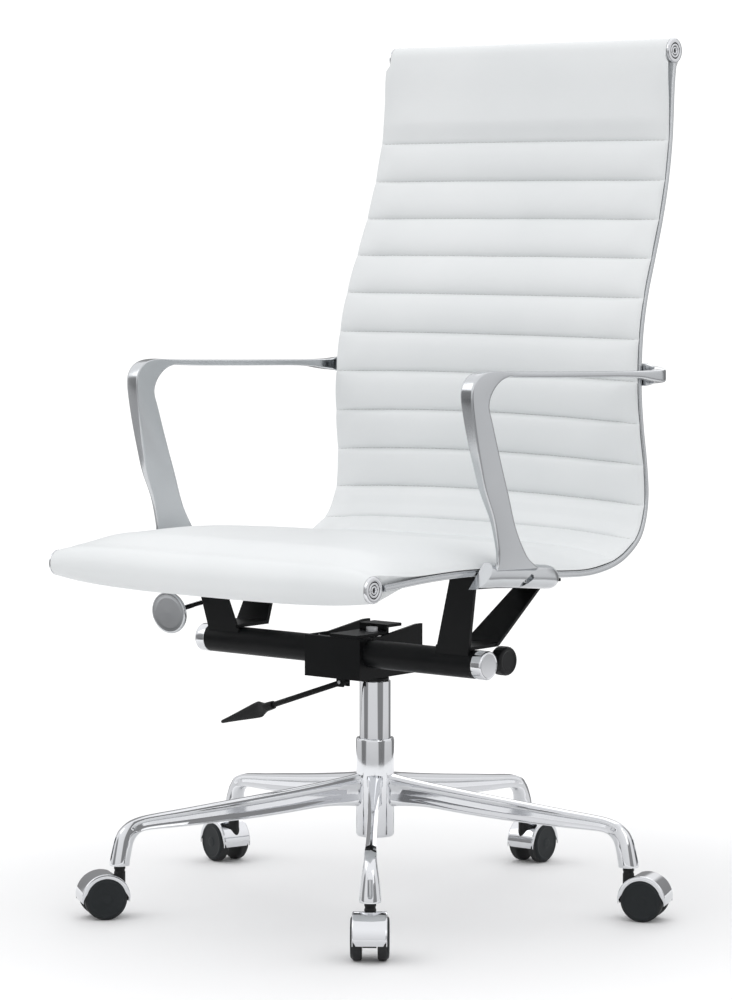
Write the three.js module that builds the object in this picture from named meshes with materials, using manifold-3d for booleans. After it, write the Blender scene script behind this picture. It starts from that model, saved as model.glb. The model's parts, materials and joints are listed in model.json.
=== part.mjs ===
// Swivel office chair: sling seat between two side rails, loop arms, gas column, five-leg base.
// Millimetres, +Z up. The sitter faces -Y. While it is being built the column axis is x = y = 0
// and the floor is z = 0; at the end the whole chair is moved so that the origin is the middle
// of its footprint, on the floor.
import * as THREE from 'three';
import { mergeVertices } from 'three/addons/utils/BufferGeometryUtils.js';
import Module from 'manifold-3d';

const wasm = await Module();
wasm.setup();

// ---------- driving dimensions ----------
const gap = 0.3;                      // between pieces that touch
const degree = Math.PI / 180;

const base = {
  legs: 5, legReach: 342, firstLeg: -51.5 * degree,
  hubWall: 4.7, hubBottom: 88, hubTop: 217, legEndBottom: 66.5,
};
const caster = {
  wheelRadius: 27.5, trailShare: 0.8, wheelInner: 9.5, wheelOuter: 23.7,
  hoodHalfWidth: 21, hoodClear: 1.8, hoodWall: 2.4, neckHalfWidth: 8.5,
  stemRadius: 5.5, collarRadius: 7.3, collarShown: 7.3, axleRadius: 3,
};
const column = {
  tubeRadius: 20.3, tubeBottom: 92, tubeTop: 291.7, ringInset: 2.3, ringHeight: 5,
  cylinderRadius: 14.25, boreClear: 0.95, cylinderBottom: 112, cylinderTop: 345,
  rodRadius: 5, floorThick: 4,
};
const torsion = { y: -68, z: 337, radius: 18, wall: 2.5, endInset: 29.5, capLength: 16.2 };
const housing = {
  halfWidth: 46, offset: 4, frontClear: 6, back: 36, bottom: 304, rimClear: 2.5, tailRise: 9.5, wall: 4,
  socketWall: 5.25, socketTop: 336,
};
const lever = { x: -21, y: -40, z: 292, eye: 5.5, pin: 2.4, rod: 3.75, reach: 129, drop: 44 };
const tensionKnob = { y: -4, z: 335, shaftRadius: 5, radius: 18.5, endInset: 1.5, thick: 19 };
const tiltKnob = {
  discRadius: 27.5, discThick: 5, rodRadius: 3.4,
  discInset: 5.5, disc: [-160.5, 378], endInset: 0, end: [-90.5, 385.2],
};
const sling = {
  halfWidth: 253, widthHeight: 756, lean: 0.0396, hem: 2.7, under: 3, rollRadius: 16.5, rollInset: 6,
  backCrown: 4, seatCrown: 28, frontSag: 10,
};
const rail = { thick: 8, width: 8.5, chamfer: 1.6 };
const roll = { tubeRadius: 11, tubeWall: 2, capLength: 3.3 };
const arm = { proud: 22.7, width: 19.2, footRadius: 15, hookThick: 13 };
const bracket = { thick: 4.5, saddleRise: 4.5 };
const plate = { thick: 4, width: 69.1, front: -112, back: 58 };
const stretcher = { z: 688, overRail: 4.8, thick: 8, height: 26, arch: 12 };

// ---------- sizes that follow from them ----------
const hubRadius = column.tubeRadius + base.hubWall;
const hoodInner = caster.wheelRadius + caster.hoodClear;
const trail = caster.wheelRadius * caster.trailShare;
// Wheels hang a fixed distance below the leg ends; the floor follows them.
const wheelCentre = base.legEndBottom - caster.collarShown - caster.hoodWall - hoodInner;
const tubeBore = column.cylinderRadius + column.boreClear;
const tubeEnd = sling.halfWidth - torsion.endInset;
const tubeHigh = torsion.z + torsion.radius;
const housingFront = torsion.y - torsion.radius - housing.frontClear;
const housingRim = tubeHigh + housing.rimClear;
const saddleTop = tubeHigh + bracket.saddleRise;
const seatHeight = 455;
const railOuter = halfWidthAt(seatHeight);
const armOuter = railOuter + arm.proud;
const armInner = armOuter - arm.width;

// Centre line of the side rail, seen from the side as (y, z), from the top roll to the front roll.
const topRoll = new THREE.Vector2(333, 1111);
const frontRoll = new THREE.Vector2(-319.7, 453.8);
const railPoints = [
  [324.6, 1075], [314.8, 994], [303.4, 940], [287.8, 889.5], [268.8, 840.4], [249, 788.5],
  [236.2, 737], [230.2, 672], [232.4, 622], [238.2, 572], [239.4, 532], [233, 502.4],
  [221.3, 480.5], [200, 463.8], [169, 450], [117, 441.8], [56, 443.1], [-30, 451.4],
  [-116, 458.4], [-200, 459.3],
];

// ---------- materials ----------
function finish(color, roughness, metalness) {
  return new THREE.MeshStandardMaterial({ color, roughness, metalness });
}
const leather = finish(0xf1f2f1, 0.5, 0);
const chrome = finish(0xd9dcdf, 0.08, 1);
const satinAluminium = finish(0xb4b7ba, 0.3, 1);
const blackPaint = finish(0x0d0e0f, 0.35, 0.2);
const blackPlastic = finish(0x151617, 0.45, 0);
const wheelPlastic = finish(0x3a3e40, 0.55, 0);
const steel = finish(0x9a9da0, 0.3, 1);

// ---------- solids and booleans ----------
function toSolid(geometry) {
  const plain = geometry.clone();
  plain.deleteAttribute('normal');
  plain.deleteAttribute('uv');
  const merged = mergeVertices(plain, 1e-4);
  return new wasm.Manifold(new wasm.Mesh({
    numProp: 3,
    vertProperties: new Float32Array(merged.attributes.position.array),
    triVerts: new Uint32Array(merged.index.array),
  }));
}

function toGeometry(solid) {
  const mesh = solid.getMesh();
  const geometry = new THREE.BufferGeometry();
  geometry.setAttribute('position', new THREE.BufferAttribute(mesh.vertProperties, 3));
  geometry.setIndex(new THREE.BufferAttribute(mesh.triVerts, 1));
  geometry.computeVertexNormals();
  return geometry;
}

function join(...geometries) {
  return toGeometry(geometries.map(toSolid).reduce((sum, next) => sum.add(next)));
}

function cut(body, ...tools) {
  return toGeometry(tools.map(toSolid).reduce((rest, tool) => rest.subtract(tool), toSolid(body)));
}

// Triangles that fill a flat ring of points, turned the way the ring runs.
function fillRing(points) {
  const normal = new THREE.Vector3();
  points.forEach((p, i) => normal.add(p.clone().cross(points[(i + 1) % points.length])));
  const size = normal.toArray().map(Math.abs);
  const [u, v] = [[1, 2], [2, 0], [0, 1]][size.indexOf(Math.max(...size))];
  const flat = points.map((p) => new THREE.Vector2(p.getComponent(u), p.getComponent(v)));
  const way = Math.sign(THREE.ShapeUtils.area(flat));
  return THREE.ShapeUtils.triangulateShape(flat, []).map(([a, b, c]) => {
    const same = Math.sign(THREE.ShapeUtils.area([flat[a], flat[b], flat[c]])) === way;
    return same ? [a, b, c] : [a, c, b];
  });
}

// Closed solid through rings of equal point count; the first and last ring are capped.
function loft(rings) {
  const count = rings[0].length;
  const faces = [];
  for (let r = 0; r + 1 < rings.length; r += 1) {
    for (let i = 0; i < count; i += 1) {
      const a = r * count + i;
      const b = r * count + ((i + 1) % count);
      faces.push(a, b, b + count, a, b + count, a + count);
    }
  }
  const last = (rings.length - 1) * count;
  fillRing(rings[0]).forEach(([a, b, c]) => faces.push(a, c, b));
  fillRing(rings[rings.length - 1]).forEach(([a, b, c]) => faces.push(last + a, last + b, last + c));
  return outward(rings.flat(), faces);
}

// Builds the geometry with its faces turned outwards.
function outward(points, faces) {
  let volume = 0;
  for (let f = 0; f < faces.length; f += 3) {
    const [a, b, c] = [points[faces[f]], points[faces[f + 1]], points[faces[f + 2]]];
    volume += a.dot(b.clone().cross(c));
  }
  if (volume < 0) faces.reverse();
  const geometry = new THREE.BufferGeometry().setFromPoints(points);
  geometry.setIndex(faces);
  geometry.computeVertexNormals();
  return geometry;
}

// Solid of revolution about Z; the profile is a list of [radius, z].
function turned(profile, segments = 20) {
  const points = profile.map(([r, z]) => new THREE.Vector2(r, z));
  const geometry = new THREE.LatheGeometry(points, segments);
  geometry.rotateX(Math.PI / 2);
  const clean = geometry.clone();
  clean.deleteAttribute('normal');
  clean.deleteAttribute('uv');
  const merged = mergeVertices(clean, 1e-4);
  const position = merged.attributes.position;
  const corners = [];
  for (let i = 0; i < position.count; i += 1) {
    corners.push(new THREE.Vector3().fromBufferAttribute(position, i));
  }
  const faces = [];
  const index = merged.index.array;
  for (let f = 0; f < index.length; f += 3) {
    const [a, b, c] = [index[f], index[f + 1], index[f + 2]];
    if (a !== b && b !== c && c !== a) faces.push(a, b, c);
  }
  return outward(corners, faces);
}

// The same profile closed on itself, for rings and tubes.
function ring(profile, segments = 20) {
  return turned([...profile, profile[0]], segments);
}

// Straight round bar between two points.
function bar(from, to, radius, segments = 12) {
  const along = to.clone().sub(from);
  const geometry = new THREE.CylinderGeometry(radius, radius, along.length(), segments);
  const up = new THREE.Vector3(0, 1, 0);
  geometry.applyQuaternion(new THREE.Quaternion().setFromUnitVectors(up, along.clone().normalize()));
  geometry.translate(...from.clone().addScaledVector(along, 0.5).toArray());
  return geometry;
}

function block(x0, x1, y0, y1, z0, z1) {
  const geometry = new THREE.BoxGeometry(x1 - x0, y1 - y0, z1 - z0);
  geometry.translate((x0 + x1) / 2, (y0 + y1) / 2, (z0 + z1) / 2);
  return geometry;
}

// Outline in the side plane, as (y, z) points, made a solid from x0 to x1.
function sidePlate(points, x0, x1) {
  return loft([x0, x1].map((x) => points.map(([y, z]) => new THREE.Vector3(x, y, z))));
}

const vec = (x, y, z) => new THREE.Vector3(x, y, z);
const mirrored = (geometry) => {
  const points = [];
  const position = geometry.attributes.position;
  for (let i = 0; i < position.count; i += 1) {
    points.push(vec(-position.getX(i), position.getY(i), position.getZ(i)));
  }
  return outward(points, Array.from(geometry.index.array));
};

const chair = new THREE.Group();
function place(name, geometry, material, parent = chair) {
  const mesh = new THREE.Mesh(geometry, material);
  mesh.name = name;
  parent.add(mesh);
  return mesh;
}

// A piece made for the +X side, and its mirror image for the -X side.
function placePair(name, geometry, material) {
  place(`${name}_right`, geometry, material);
  place(`${name}_left`, mirrored(geometry), material);
}

// ---------- base ----------
// One leg along +X: top and bottom edge as [radius, z] pairs with the half width there.
function legGeometry() {
  const reach = base.legReach;
  const stations = [
    [[hubRadius - 3, 170.5], [hubRadius - 3, 128.5], 9],
    [[60, 163.6], [61, 129.6], 7.5],
    [[119, 154.3], [119, 123.4], 6.6],
    [[214, 141.2], [212, 115.2], 6],
    [[reach - 52, 131.6], [reach - 52, 111.2], 6.2],
    [[reach - 30, 128.2], [reach - 36, 110.4], 6.8],
    [[reach - 11.3, 121.6], [reach - 27, 108.4], 7.8],
    [[reach + 3, 108.8], [reach - 19, 101.4], 9.5],
    [[reach + 7.6, 97], [reach - 16.6, 93], 11.5],
    [[reach + 10.4, 83], [reach - 15, 82], 13.2],
    [[reach + 13, base.legEndBottom], [reach - 12.7, base.legEndBottom], 14],
  ];
  return loft(stations.map(([top, low, half]) => {
    const across = [[0, 0.5], [0.16, 1], [0.84, 1], [1, 0.5], [1, -0.5], [0.84, -1], [0.16, -1], [0, -0.5]];
    return across.map(([t, side]) => vec(
      top[0] + (low[0] - top[0]) * t,
      half * side,
      top[1] + (low[1] - top[1]) * t,
    ));
  }));
}

function starBase() {
  const { hubBottom, hubTop } = base;
  let solid = toSolid(turned([
    [0, hubBottom], [hubRadius - 2, hubBottom], [hubRadius, hubBottom + 2],
    [hubRadius, hubTop - 2], [hubRadius - 1.5, hubTop], [0, hubTop],
  ], 24));
  for (let i = 0; i < base.legs; i += 1) {
    const leg = legGeometry();
    leg.rotateZ(base.firstLeg + (i * 2 * Math.PI) / base.legs);
    solid = solid.add(toSolid(leg));
  }
  const boreRadius = column.tubeRadius + 2 * gap;
  const bore = bar(vec(0, 0, column.tubeBottom - 1), vec(0, 0, hubTop + 5), boreRadius, 24);
  const mouth = bar(vec(0, 0, hubBottom - 5), vec(0, 0, column.tubeBottom), column.tubeRadius - 4, 24);
  solid = solid.subtract(toSolid(bore)).subtract(toSolid(mouth));
  for (let i = 0; i < base.legs; i += 1) {
    const turn = base.firstLeg + (i * 2 * Math.PI) / base.legs;
    const [x, y] = [base.legReach * Math.cos(turn), base.legReach * Math.sin(turn)];
    const socket = bar(vec(x, y, 40), vec(x, y, stemTop() + 2), caster.stemRadius + 0.4, 12);
    solid = solid.subtract(toSolid(socket));
  }
  return toGeometry(solid);
}

// ---------- casters, in their own frame: stem axis at x = 0, trailing towards +X ----------
function stemTop() {
  return base.legEndBottom + 28;
}

function wheel(side) {
  const flat = 1 / Math.cos(Math.PI / 24);
  const outer = caster.wheelRadius * flat;
  const { wheelInner, wheelOuter, axleRadius } = caster;
  const geometry = turned([
    [0, wheelOuter], [outer - 4, wheelOuter], [outer, wheelOuter - 3], [outer, wheelInner],
    [axleRadius + gap, wheelInner], [axleRadius + gap, wheelOuter - 2.7], [0, wheelOuter - 2.7],
  ], 24);
  geometry.rotateZ(Math.PI / 24);
  geometry.rotateX(-side * Math.PI / 2);
  geometry.translate(trail, 0, wheelCentre);
  return geometry;
}

function arcPoints(radius, from, to, steps) {
  return Array.from({ length: steps + 1 }, (_, i) => {
    const angle = from + ((to - from) * i) / steps;
    return [trail + radius * Math.cos(angle), wheelCentre + radius * Math.sin(angle)];
  });
}

// Outline as (x, z) points, made a solid from -half to half across the wheels.
function slab(points, half) {
  return loft([-half, half].map((y) => points.map(([x, z]) => vec(x, y, z))));
}

const hoodArc = { from: -8 * degree, to: 188 * degree, steps: 12 };

function casterHood() {
  const { hoodWall, hoodHalfWidth, collarRadius } = caster;
  const { from, to, steps } = hoodArc;
  const outer = arcPoints(hoodInner + hoodWall, from, to, steps);
  const inner = arcPoints(hoodInner, from, to, steps).reverse();
  const arch = slab([...outer, ...inner], hoodHalfWidth);
  const hole = bar(vec(0, 0, wheelCentre), vec(0, 0, base.legEndBottom + 5), collarRadius + 0.4, 12);
  return cut(arch, hole);
}

function casterNeck() {
  const { neckHalfWidth, collarRadius, stemRadius, axleRadius } = caster;
  const flatInner = hoodInner * Math.cos((hoodArc.to - hoodArc.from) / hoodArc.steps / 2);
  const web = slab(arcPoints(flatInner - gap, -12 * degree, 192 * degree, 8), neckHalfWidth);
  const collar = bar(vec(0, 0, wheelCentre + 8.5), vec(0, 0, base.legEndBottom - gap), collarRadius, 12);
  const stem = bar(vec(0, 0, 60), vec(0, 0, stemTop()), stemRadius, 12);
  const axleHalf = caster.wheelOuter - 3.2;
  const axle = bar(vec(trail, -axleHalf, wheelCentre), vec(trail, axleHalf, wheelCentre), axleRadius, 10);
  return join(web, collar, stem, axle);
}

function addCasters() {
  for (let i = 0; i < base.legs; i += 1) {
    const turn = base.firstLeg + (i * 2 * Math.PI) / base.legs;
    const group = new THREE.Group();
    group.position.set(base.legReach * Math.cos(turn), base.legReach * Math.sin(turn), 0);
    group.rotation.z = turn;
    chair.add(group);
    place(`caster_hood_${i + 1}`, casterHood(), chrome, group);
    place(`caster_neck_${i + 1}`, casterNeck(), blackPlastic, group);
    place(`wheel_${i + 1}_a`, wheel(1), wheelPlastic, group);
    place(`wheel_${i + 1}_b`, wheel(-1), wheelPlastic, group);
  }
}

// ---------- column ----------
function addColumn() {
  const { tubeRadius, tubeBottom, tubeTop, ringInset, ringHeight } = column;
  const { cylinderRadius, cylinderBottom, cylinderTop, rodRadius, floorThick } = column;
  const floorTop = tubeBottom + floorThick;
  place('stand_tube', ring([
    [rodRadius + gap, tubeBottom], [tubeRadius, tubeBottom], [tubeRadius, tubeTop],
    [tubeBore, tubeTop], [tubeBore, floorTop], [rodRadius + gap, floorTop],
  ], 24), chrome);
  place('column_ring', ring([
    [cylinderRadius + gap, tubeTop + gap], [tubeRadius - ringInset, tubeTop + gap],
    [tubeRadius - ringInset, tubeTop + ringHeight], [cylinderRadius + gap, tubeTop + ringHeight],
  ], 20), blackPlastic);
  const bearingTop = floorTop + gap + 5;
  const bearingRadius = tubeBore - 2.2;
  place('thrust_bearing', ring([
    [rodRadius + gap, floorTop + gap], [bearingRadius, floorTop + gap],
    [bearingRadius, bearingTop], [rodRadius + gap, bearingTop],
  ]), steel);
  const flange = bearingTop + gap;
  place('piston_rod', turned([
    [0, tubeBottom - 2], [rodRadius, tubeBottom - 2], [rodRadius, flange], [11, flange],
    [11, flange + 3], [rodRadius, flange + 3], [rodRadius, tubeTop - 2], [0, tubeTop - 2],
  ]), steel);
  place('gas_cylinder', turned([
    [0, cylinderTop + 7], [4, cylinderTop + 7], [4, cylinderTop], [cylinderRadius - 1.65, cylinderTop],
    [cylinderRadius, cylinderTop - 27], [cylinderRadius, cylinderBottom],
    [rodRadius + gap, cylinderBottom], [rodRadius + gap, tubeTop + 8], [0, tubeTop + 8],
  ], 20), chrome);
}

// ---------- tilt mechanism ----------
function tiltHousing() {
  const { halfWidth, offset, back, bottom, tailRise, wall, socketWall, socketTop } = housing;
  const [left, right] = [offset - halfWidth, offset + halfWidth];
  const [front, rim, tail] = [housingFront, housingRim, housingRim + tailRise];
  const socketRadius = column.cylinderRadius + socketWall;
  const side = [
    [front, bottom], [back, bottom], [back, tail], [back - 12, tail], [front + 46, rim], [front, rim],
  ];
  const boss = bar(vec(0, 0, bottom), vec(0, 0, socketTop), socketRadius, 24);
  const earZ = [lever.z - 6, bottom + 1];
  const ears = [-1, 1].map((s) => {
    const y = lever.y + s * 5.8;
    return block(lever.x - 5.5, lever.x + 5.5, y - 1.5, y + 1.5, ...earZ);
  });
  const shell = join(
    sidePlate(side, left, left + wall),
    sidePlate(side, right - wall, right),
    block(left, right, front, back, bottom, bottom + wall),
    block(left, right, front, front + wall, bottom, rim),
    boss,
    ...ears,
  );
  const reach = halfWidth + 20;
  const { y, z, radius } = torsion;
  const { pin } = lever;
  return cut(
    shell,
    bar(vec(-reach, y, z), vec(reach, y, z), radius + 0.6, 24),
    bar(vec(0, 0, bottom - 5), vec(0, 0, socketTop + 5), column.cylinderRadius + 2 * gap, 20),
    bar(vec(right - 8, tensionKnob.y, tensionKnob.z), vec(right + 5, tensionKnob.y, tensionKnob.z),
      tensionKnob.shaftRadius + gap),
    bar(vec(lever.x, lever.y - 10, lever.z), vec(lever.x, lever.y + 10, lever.z), pin + gap, 12),
  );
}

// Bent strap that rests on the housing's front wall, with its clamping bolt.
function addTopBracket() {
  const { wall, offset, halfWidth } = housing;
  const front = housingFront;
  const low = housingRim + gap;
  const high = low + 9;
  const [step, back] = [-28, -2];
  const strap = [
    [front, low], [step, low], [step, high], [back, high], [back, high + wall], [step - wall, high + wall],
    [step - wall, low + wall], [front, low + wall],
  ];
  const bolt = { x: 31, y: -44, head: 7.5, shank: 4 };
  const plain = sidePlate(strap, 0, offset + halfWidth - wall - gap);
  const hole = bar(vec(bolt.x, bolt.y, low - 5), vec(bolt.x, bolt.y, low + 9), bolt.shank + gap, 12);
  place('top_bracket', cut(plain, hole), blackPaint);
  const seat = low + wall + gap;
  const head = bar(vec(bolt.x, bolt.y, seat), vec(bolt.x, bolt.y, seat + 6), bolt.head, 6);
  const shank = bar(vec(bolt.x, bolt.y, low - 4), vec(bolt.x, bolt.y, seat + 1), bolt.shank, 12);
  place('bracket_bolt', join(head, shank), steel);
}

function addHeightLever() {
  const { x, y, z, eye, pin, rod, reach, drop } = lever;
  const end = vec(x - reach, y, z - drop);
  const start = vec(x - 2, y, z - 0.7);
  const knuckle = bar(vec(x, y - 4, z), vec(x, y + 4, z), eye, 20);
  const bore = bar(vec(x, y - 9, z), vec(x, y + 9, z), pin + gap, 12);
  place('height_lever', cut(join(knuckle, bar(start, end, rod, 12)), bore), blackPaint);
  place('lever_pin', bar(vec(x, y - 8.5, z), vec(x, y + 8.5, z), pin, 12), steel);
  const along = end.clone().sub(start).normalize();
  const across = vec(along.z, 0, -along.x).normalize();
  const depth = vec(0, 1, 0);
  const stations = [[-9, 5.6, 5.2], [7, 6.2, 5.8], [16, 10.5, 3.2], [60, 5.6, 2.3], [88, 2.1, 1.6]];
  const handle = loft(stations.map(([s, high, deep]) => Array.from({ length: 12 }, (_, i) => {
    const angle = (i / 12) * 2 * Math.PI;
    return end.clone().addScaledVector(along, s)
      .addScaledVector(across, high * Math.cos(angle)).addScaledVector(depth, deep * Math.sin(angle));
  })));
  const socketLow = end.clone().addScaledVector(along, -14);
  const socketHigh = end.clone().addScaledVector(along, gap);
  const socket = bar(socketLow, socketHigh, rod + gap, 12);
  place('lever_paddle', cut(handle, socket), blackPlastic);
}

function addTensionKnob() {
  const { y, z, shaftRadius, radius, endInset, thick } = tensionKnob;
  const outer = tubeEnd - endInset;
  const inner = outer - thick;
  place('tension_shaft', bar(vec(24, y, z), vec(inner + 8, y, z), shaftRadius), steel);
  const knob = turned([
    [0, outer], [radius - 3, outer], [radius, outer - 3], [radius, inner + 3], [radius - 3, inner],
    [shaftRadius + gap, inner], [shaftRadius + gap, inner + 8 + gap], [0, inner + 8 + gap],
  ]);
  knob.rotateY(Math.PI / 2);
  knob.translate(0, y, z);
  place('tension_knob', knob, blackPlastic);
}

function addTiltKnob() {
  const { discRadius, discThick, rodRadius, discInset, endInset } = tiltKnob;
  const disc = vec(discInset - tubeEnd, ...tiltKnob.disc);
  const end = vec(endInset - tubeEnd, ...tiltKnob.end);
  const along = end.clone().sub(disc).normalize();
  const knob = turned([
    [0, 0], [discRadius - 1.2, 0], [discRadius, 1.2], [discRadius, discThick],
    [discRadius - 4, discThick + 3], [9, discThick + 6], [7, discThick + 12],
    [rodRadius + gap, discThick + 12], [rodRadius + gap, discThick + 2], [0, discThick + 2],
  ], 24);
  const turn = new THREE.Quaternion().setFromUnitVectors(vec(0, 0, 1), along);
  knob.applyQuaternion(turn);
  knob.translate(...disc.toArray());
  place('tilt_knob', knob, satinAluminium);
  const start = disc.clone().addScaledVector(along, discThick + 2 + gap);
  place('tilt_rod', bar(start, end, rodRadius, 14), chrome);
}

function addTorsionTube() {
  const { y, z, radius, wall, capLength } = torsion;
  const tube = ring([
    [radius - wall, -tubeEnd], [radius, -tubeEnd], [radius, tubeEnd], [radius - wall, tubeEnd],
  ], 24);
  tube.rotateY(Math.PI / 2);
  tube.translate(0, y, z);
  place('torsion_tube', tube, blackPaint);
  const cap = turned([
    [0, tubeEnd + gap], [radius + 0.25, tubeEnd + gap], [radius + 0.25, tubeEnd + capLength - 1],
    [radius - 0.75, tubeEnd + capLength], [0, tubeEnd + capLength],
  ], 24);
  cap.rotateY(Math.PI / 2);
  cap.translate(0, y, z);
  placePair('tube_cap', cap, chrome);
}

// ---------- side rails and sling ----------
function halfWidthAt(z) {
  return sling.halfWidth - sling.lean * (z - sling.widthHeight);
}

const railCurve = new THREE.CatmullRomCurve3(
  [[topRoll.x, topRoll.y], ...railPoints, [frontRoll.x, frontRoll.y]].map(([y, z]) => vec(0, y, z)),
  false,
  'centripetal',
);

// Place and upper-side normal on the centre line at distance t (0 at the top roll, 1 at the front).
function railFrame(t) {
  const point = railCurve.getPointAt(t);
  const tangent = railCurve.getTangentAt(t);
  return { point, normal: vec(0, tangent.z, -tangent.y) };
}

function railHeight(y) {
  let best = railCurve.getPointAt(1);
  for (let i = 40; i <= 100; i += 0.5) {
    const point = railCurve.getPointAt(i / 100);
    if (Math.abs(point.y - y) < Math.abs(best.y - y)) best = point;
  }
  return best.z;
}

// Solid that runs along the rail line between the rolls; its section is a list of [x from the
// outer face, distance above the line].
function alongRail(section) {
  const length = railCurve.getLength();
  const ends = (sling.rollRadius + gap + 0.3) / length;
  const steps = 26;
  return loft(Array.from({ length: steps + 1 }, (_, i) => {
    const t = ends + (1 - 2 * ends) * (i / steps);
    const { point, normal } = railFrame(t);
    return section.map(([x, n]) => {
      const spot = point.clone().addScaledVector(normal, n);
      return spot.setX(halfWidthAt(spot.z) + x);
    });
  }));
}

function sideRail() {
  const [half, inside, c] = [rail.thick / 2, -rail.width, rail.chamfer];
  return alongRail([
    [inside + c, -half], [-c, -half], [0, c - half], [0, half - c],
    [-c, half], [inside + c, half], [inside, half - c], [inside, c - half],
  ]);
}

// The sling's hem: its edge in front of the rail.
function slingHem() {
  const low = rail.thick / 2 + gap;
  const [inside, top] = [-rail.width - 4, low + sling.hem];
  return alongRail([[inside, low], [-gap, low], [-gap, top - 1.2], [-1.5, top], [inside, top]]);
}

// Half thickness of the sling above and below its centre line, t along it, u from 0 in the
// middle to 1 at the side edge.
function slingDepth(t, u, length) {
  const fromTop = t * length;
  const fromFront = (1 - t) * length;
  const { hem, under, rollRadius } = sling;
  const top = rail.thick / 2 + gap + hem;
  const middle = 1 - u ** 3.4;
  const seat = THREE.MathUtils.smoothstep(t, 0.5, 0.72);
  const { backCrown, seatCrown, frontSag } = sling;
  const crown = backCrown + (seatCrown - backCrown) * seat;
  const nearTop = THREE.MathUtils.smoothstep(fromTop, 0, 60);
  const nearFront = THREE.MathUtils.lerp(0.3, 1, THREE.MathUtils.smoothstep(fromFront, 0, 90));
  const swell = crown * nearTop * nearFront;
  const topBlend = Math.exp(-((fromTop / 55) ** 2));
  const frontBlend = Math.exp(-((fromFront / 55) ** 2));
  const rollGrow = Math.max(topBlend, frontBlend);
  const sag = frontSag * THREE.MathUtils.smoothstep(t, 0.78, 0.96);
  return [
    top + (rollRadius - top) * rollGrow + swell * middle,
    under + (rollRadius - under) * rollGrow + sag * middle,
  ];
}

// Where the leather on a roll ends, from the middle of the chair.
function rollEnd(centre) {
  return halfWidthAt(centre.y) - sling.rollInset;
}

function slingPad() {
  const length = railCurve.getLength();
  const steps = 28;
  const across = [-1, -0.92, -0.7, -0.35, 0, 0.35, 0.7, 0.92, 1];
  const endArc = (centre, t, sign, side) => {
    const { normal } = railFrame(t);
    const start = Math.atan2(normal.z, normal.y);
    const [up, down] = slingDepth(t, Math.abs(side), length);
    return [1, 2, 3, 4].map((k) => {
      const angle = start + sign * (k / 5) * Math.PI;
      const r = THREE.MathUtils.lerp(up, down, k / 5);
      return vec(0, centre.x + r * Math.cos(angle), centre.y + r * Math.sin(angle));
    });
  };
  const rings = across.map((side) => {
    const upper = [];
    const lower = [];
    for (let i = 0; i <= steps; i += 1) {
      const t = i / steps;
      const { point, normal } = railFrame(t);
      const [up, down] = slingDepth(t, Math.abs(side), length);
      upper.push(point.clone().addScaledVector(normal, up));
      lower.push(point.clone().addScaledVector(normal, -down));
    }
    const front = endArc(frontRoll, 1, 1, side);
    const top = endArc(topRoll, 0, -1, side).reverse();
    const outline = [...upper, ...front, ...lower.reverse(), ...top];
    return outline.map((p) => p.setX(side * (halfWidthAt(p.z) - rail.width - gap)));
  });
  const barAcross = (centre, half, radius, segments) => bar(
    vec(-half, centre.x, centre.y), vec(half, centre.x, centre.y), radius, segments,
  );
  const ends = [topRoll, frontRoll];
  const sleeves = ends.map((centre) => barAcross(centre, rollEnd(centre), sling.rollRadius - 0.1, 24));
  const holeRadius = roll.tubeRadius + gap + 0.2;
  const holes = ends.map((centre) => barAcross(centre, sling.halfWidth + 40, holeRadius, 16));
  const hem = slingHem();
  return cut(join(loft(rings), hem, mirrored(hem), ...sleeves), ...holes);
}

function addRoll(name, centre) {
  const { tubeRadius, tubeWall, capLength } = roll;
  const inner = rollEnd(centre);
  const tube = ring([
    [tubeRadius - tubeWall, -inner], [tubeRadius, -inner],
    [tubeRadius, inner], [tubeRadius - tubeWall, inner],
  ], 16);
  tube.rotateY(Math.PI / 2);
  tube.translate(0, centre.x, centre.y);
  place(`${name}_roll_tube`, tube, steel);
  const outer = inner + gap + capLength;
  const radius = sling.rollRadius;
  const cap = turned([
    [0, inner + gap], [radius, inner + gap], [radius, outer - 1.5], [radius - 1.5, outer],
    [3, outer], [3, outer - 1.5], [0, outer - 1.5],
  ], 20);
  cap.rotateY(Math.PI / 2);
  cap.translate(0, centre.x, centre.y);
  placePair(`${name}_roll_cap`, cap, chrome);
}

// ---------- arms ----------
function armOutline() {
  const front = [
    [-112, 452], [-111, 490], [-120.5, 524], [-136.5, 558.7], [-153, 616], [-163.6, 668], [-164.4, 680],
    [-160, 692], [-149, 701.5], [-136, 706], [-122, 707],
  ];
  const end = hookBack() - 7.5;
  const barTop = [
    [-95, 705.6], [95, 699], [end - 36, 696], [end - 19, 696.6], [end - 4, 697.2], [end, 693],
  ];
  const barLow = [[end, 682], [end - 5, 679], [end - 19, 680], [end - 39, 686], [95, 690.8], [-88, 697]];
  const back = [
    [-103, 694], [-116, 686], [-125, 675], [-128, 664], [-110.5, 614], [-89, 558], [-73, 513], [-60, 488],
    [-44, 467], [-28, 460], [-28, 452],
  ];
  return [...front, ...barTop, ...barLow, ...back];
}

// Half-round clamp along the rail's outer side, cut slantwise at its front end.
function armFoot() {
  const { footRadius } = arm;
  const flat = armOuter - footRadius;
  const inside = railOuter + 2 * gap + 0.8;
  const stations = [[-128, 1], [-60, 1], [0, 1], [11, 0.93], [16, 0.75], [18.5, 0.45]];
  return loft(stations.map(([y, shrink], k) => {
    const middle = railHeight(y) - 3;
    const r = footRadius * shrink;
    const slant = k === 0 ? 13 : 0;
    const round = Array.from({ length: 13 }, (_, i) => {
      const angle = (-90 + 15 * i) * degree;
      return vec(flat + r * Math.cos(angle), y + slant * Math.sin(angle), middle + r * Math.sin(angle));
    });
    return [vec(inside, y - slant, middle - r), ...round, vec(inside, y + slant, middle + r)];
  }));
}

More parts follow.
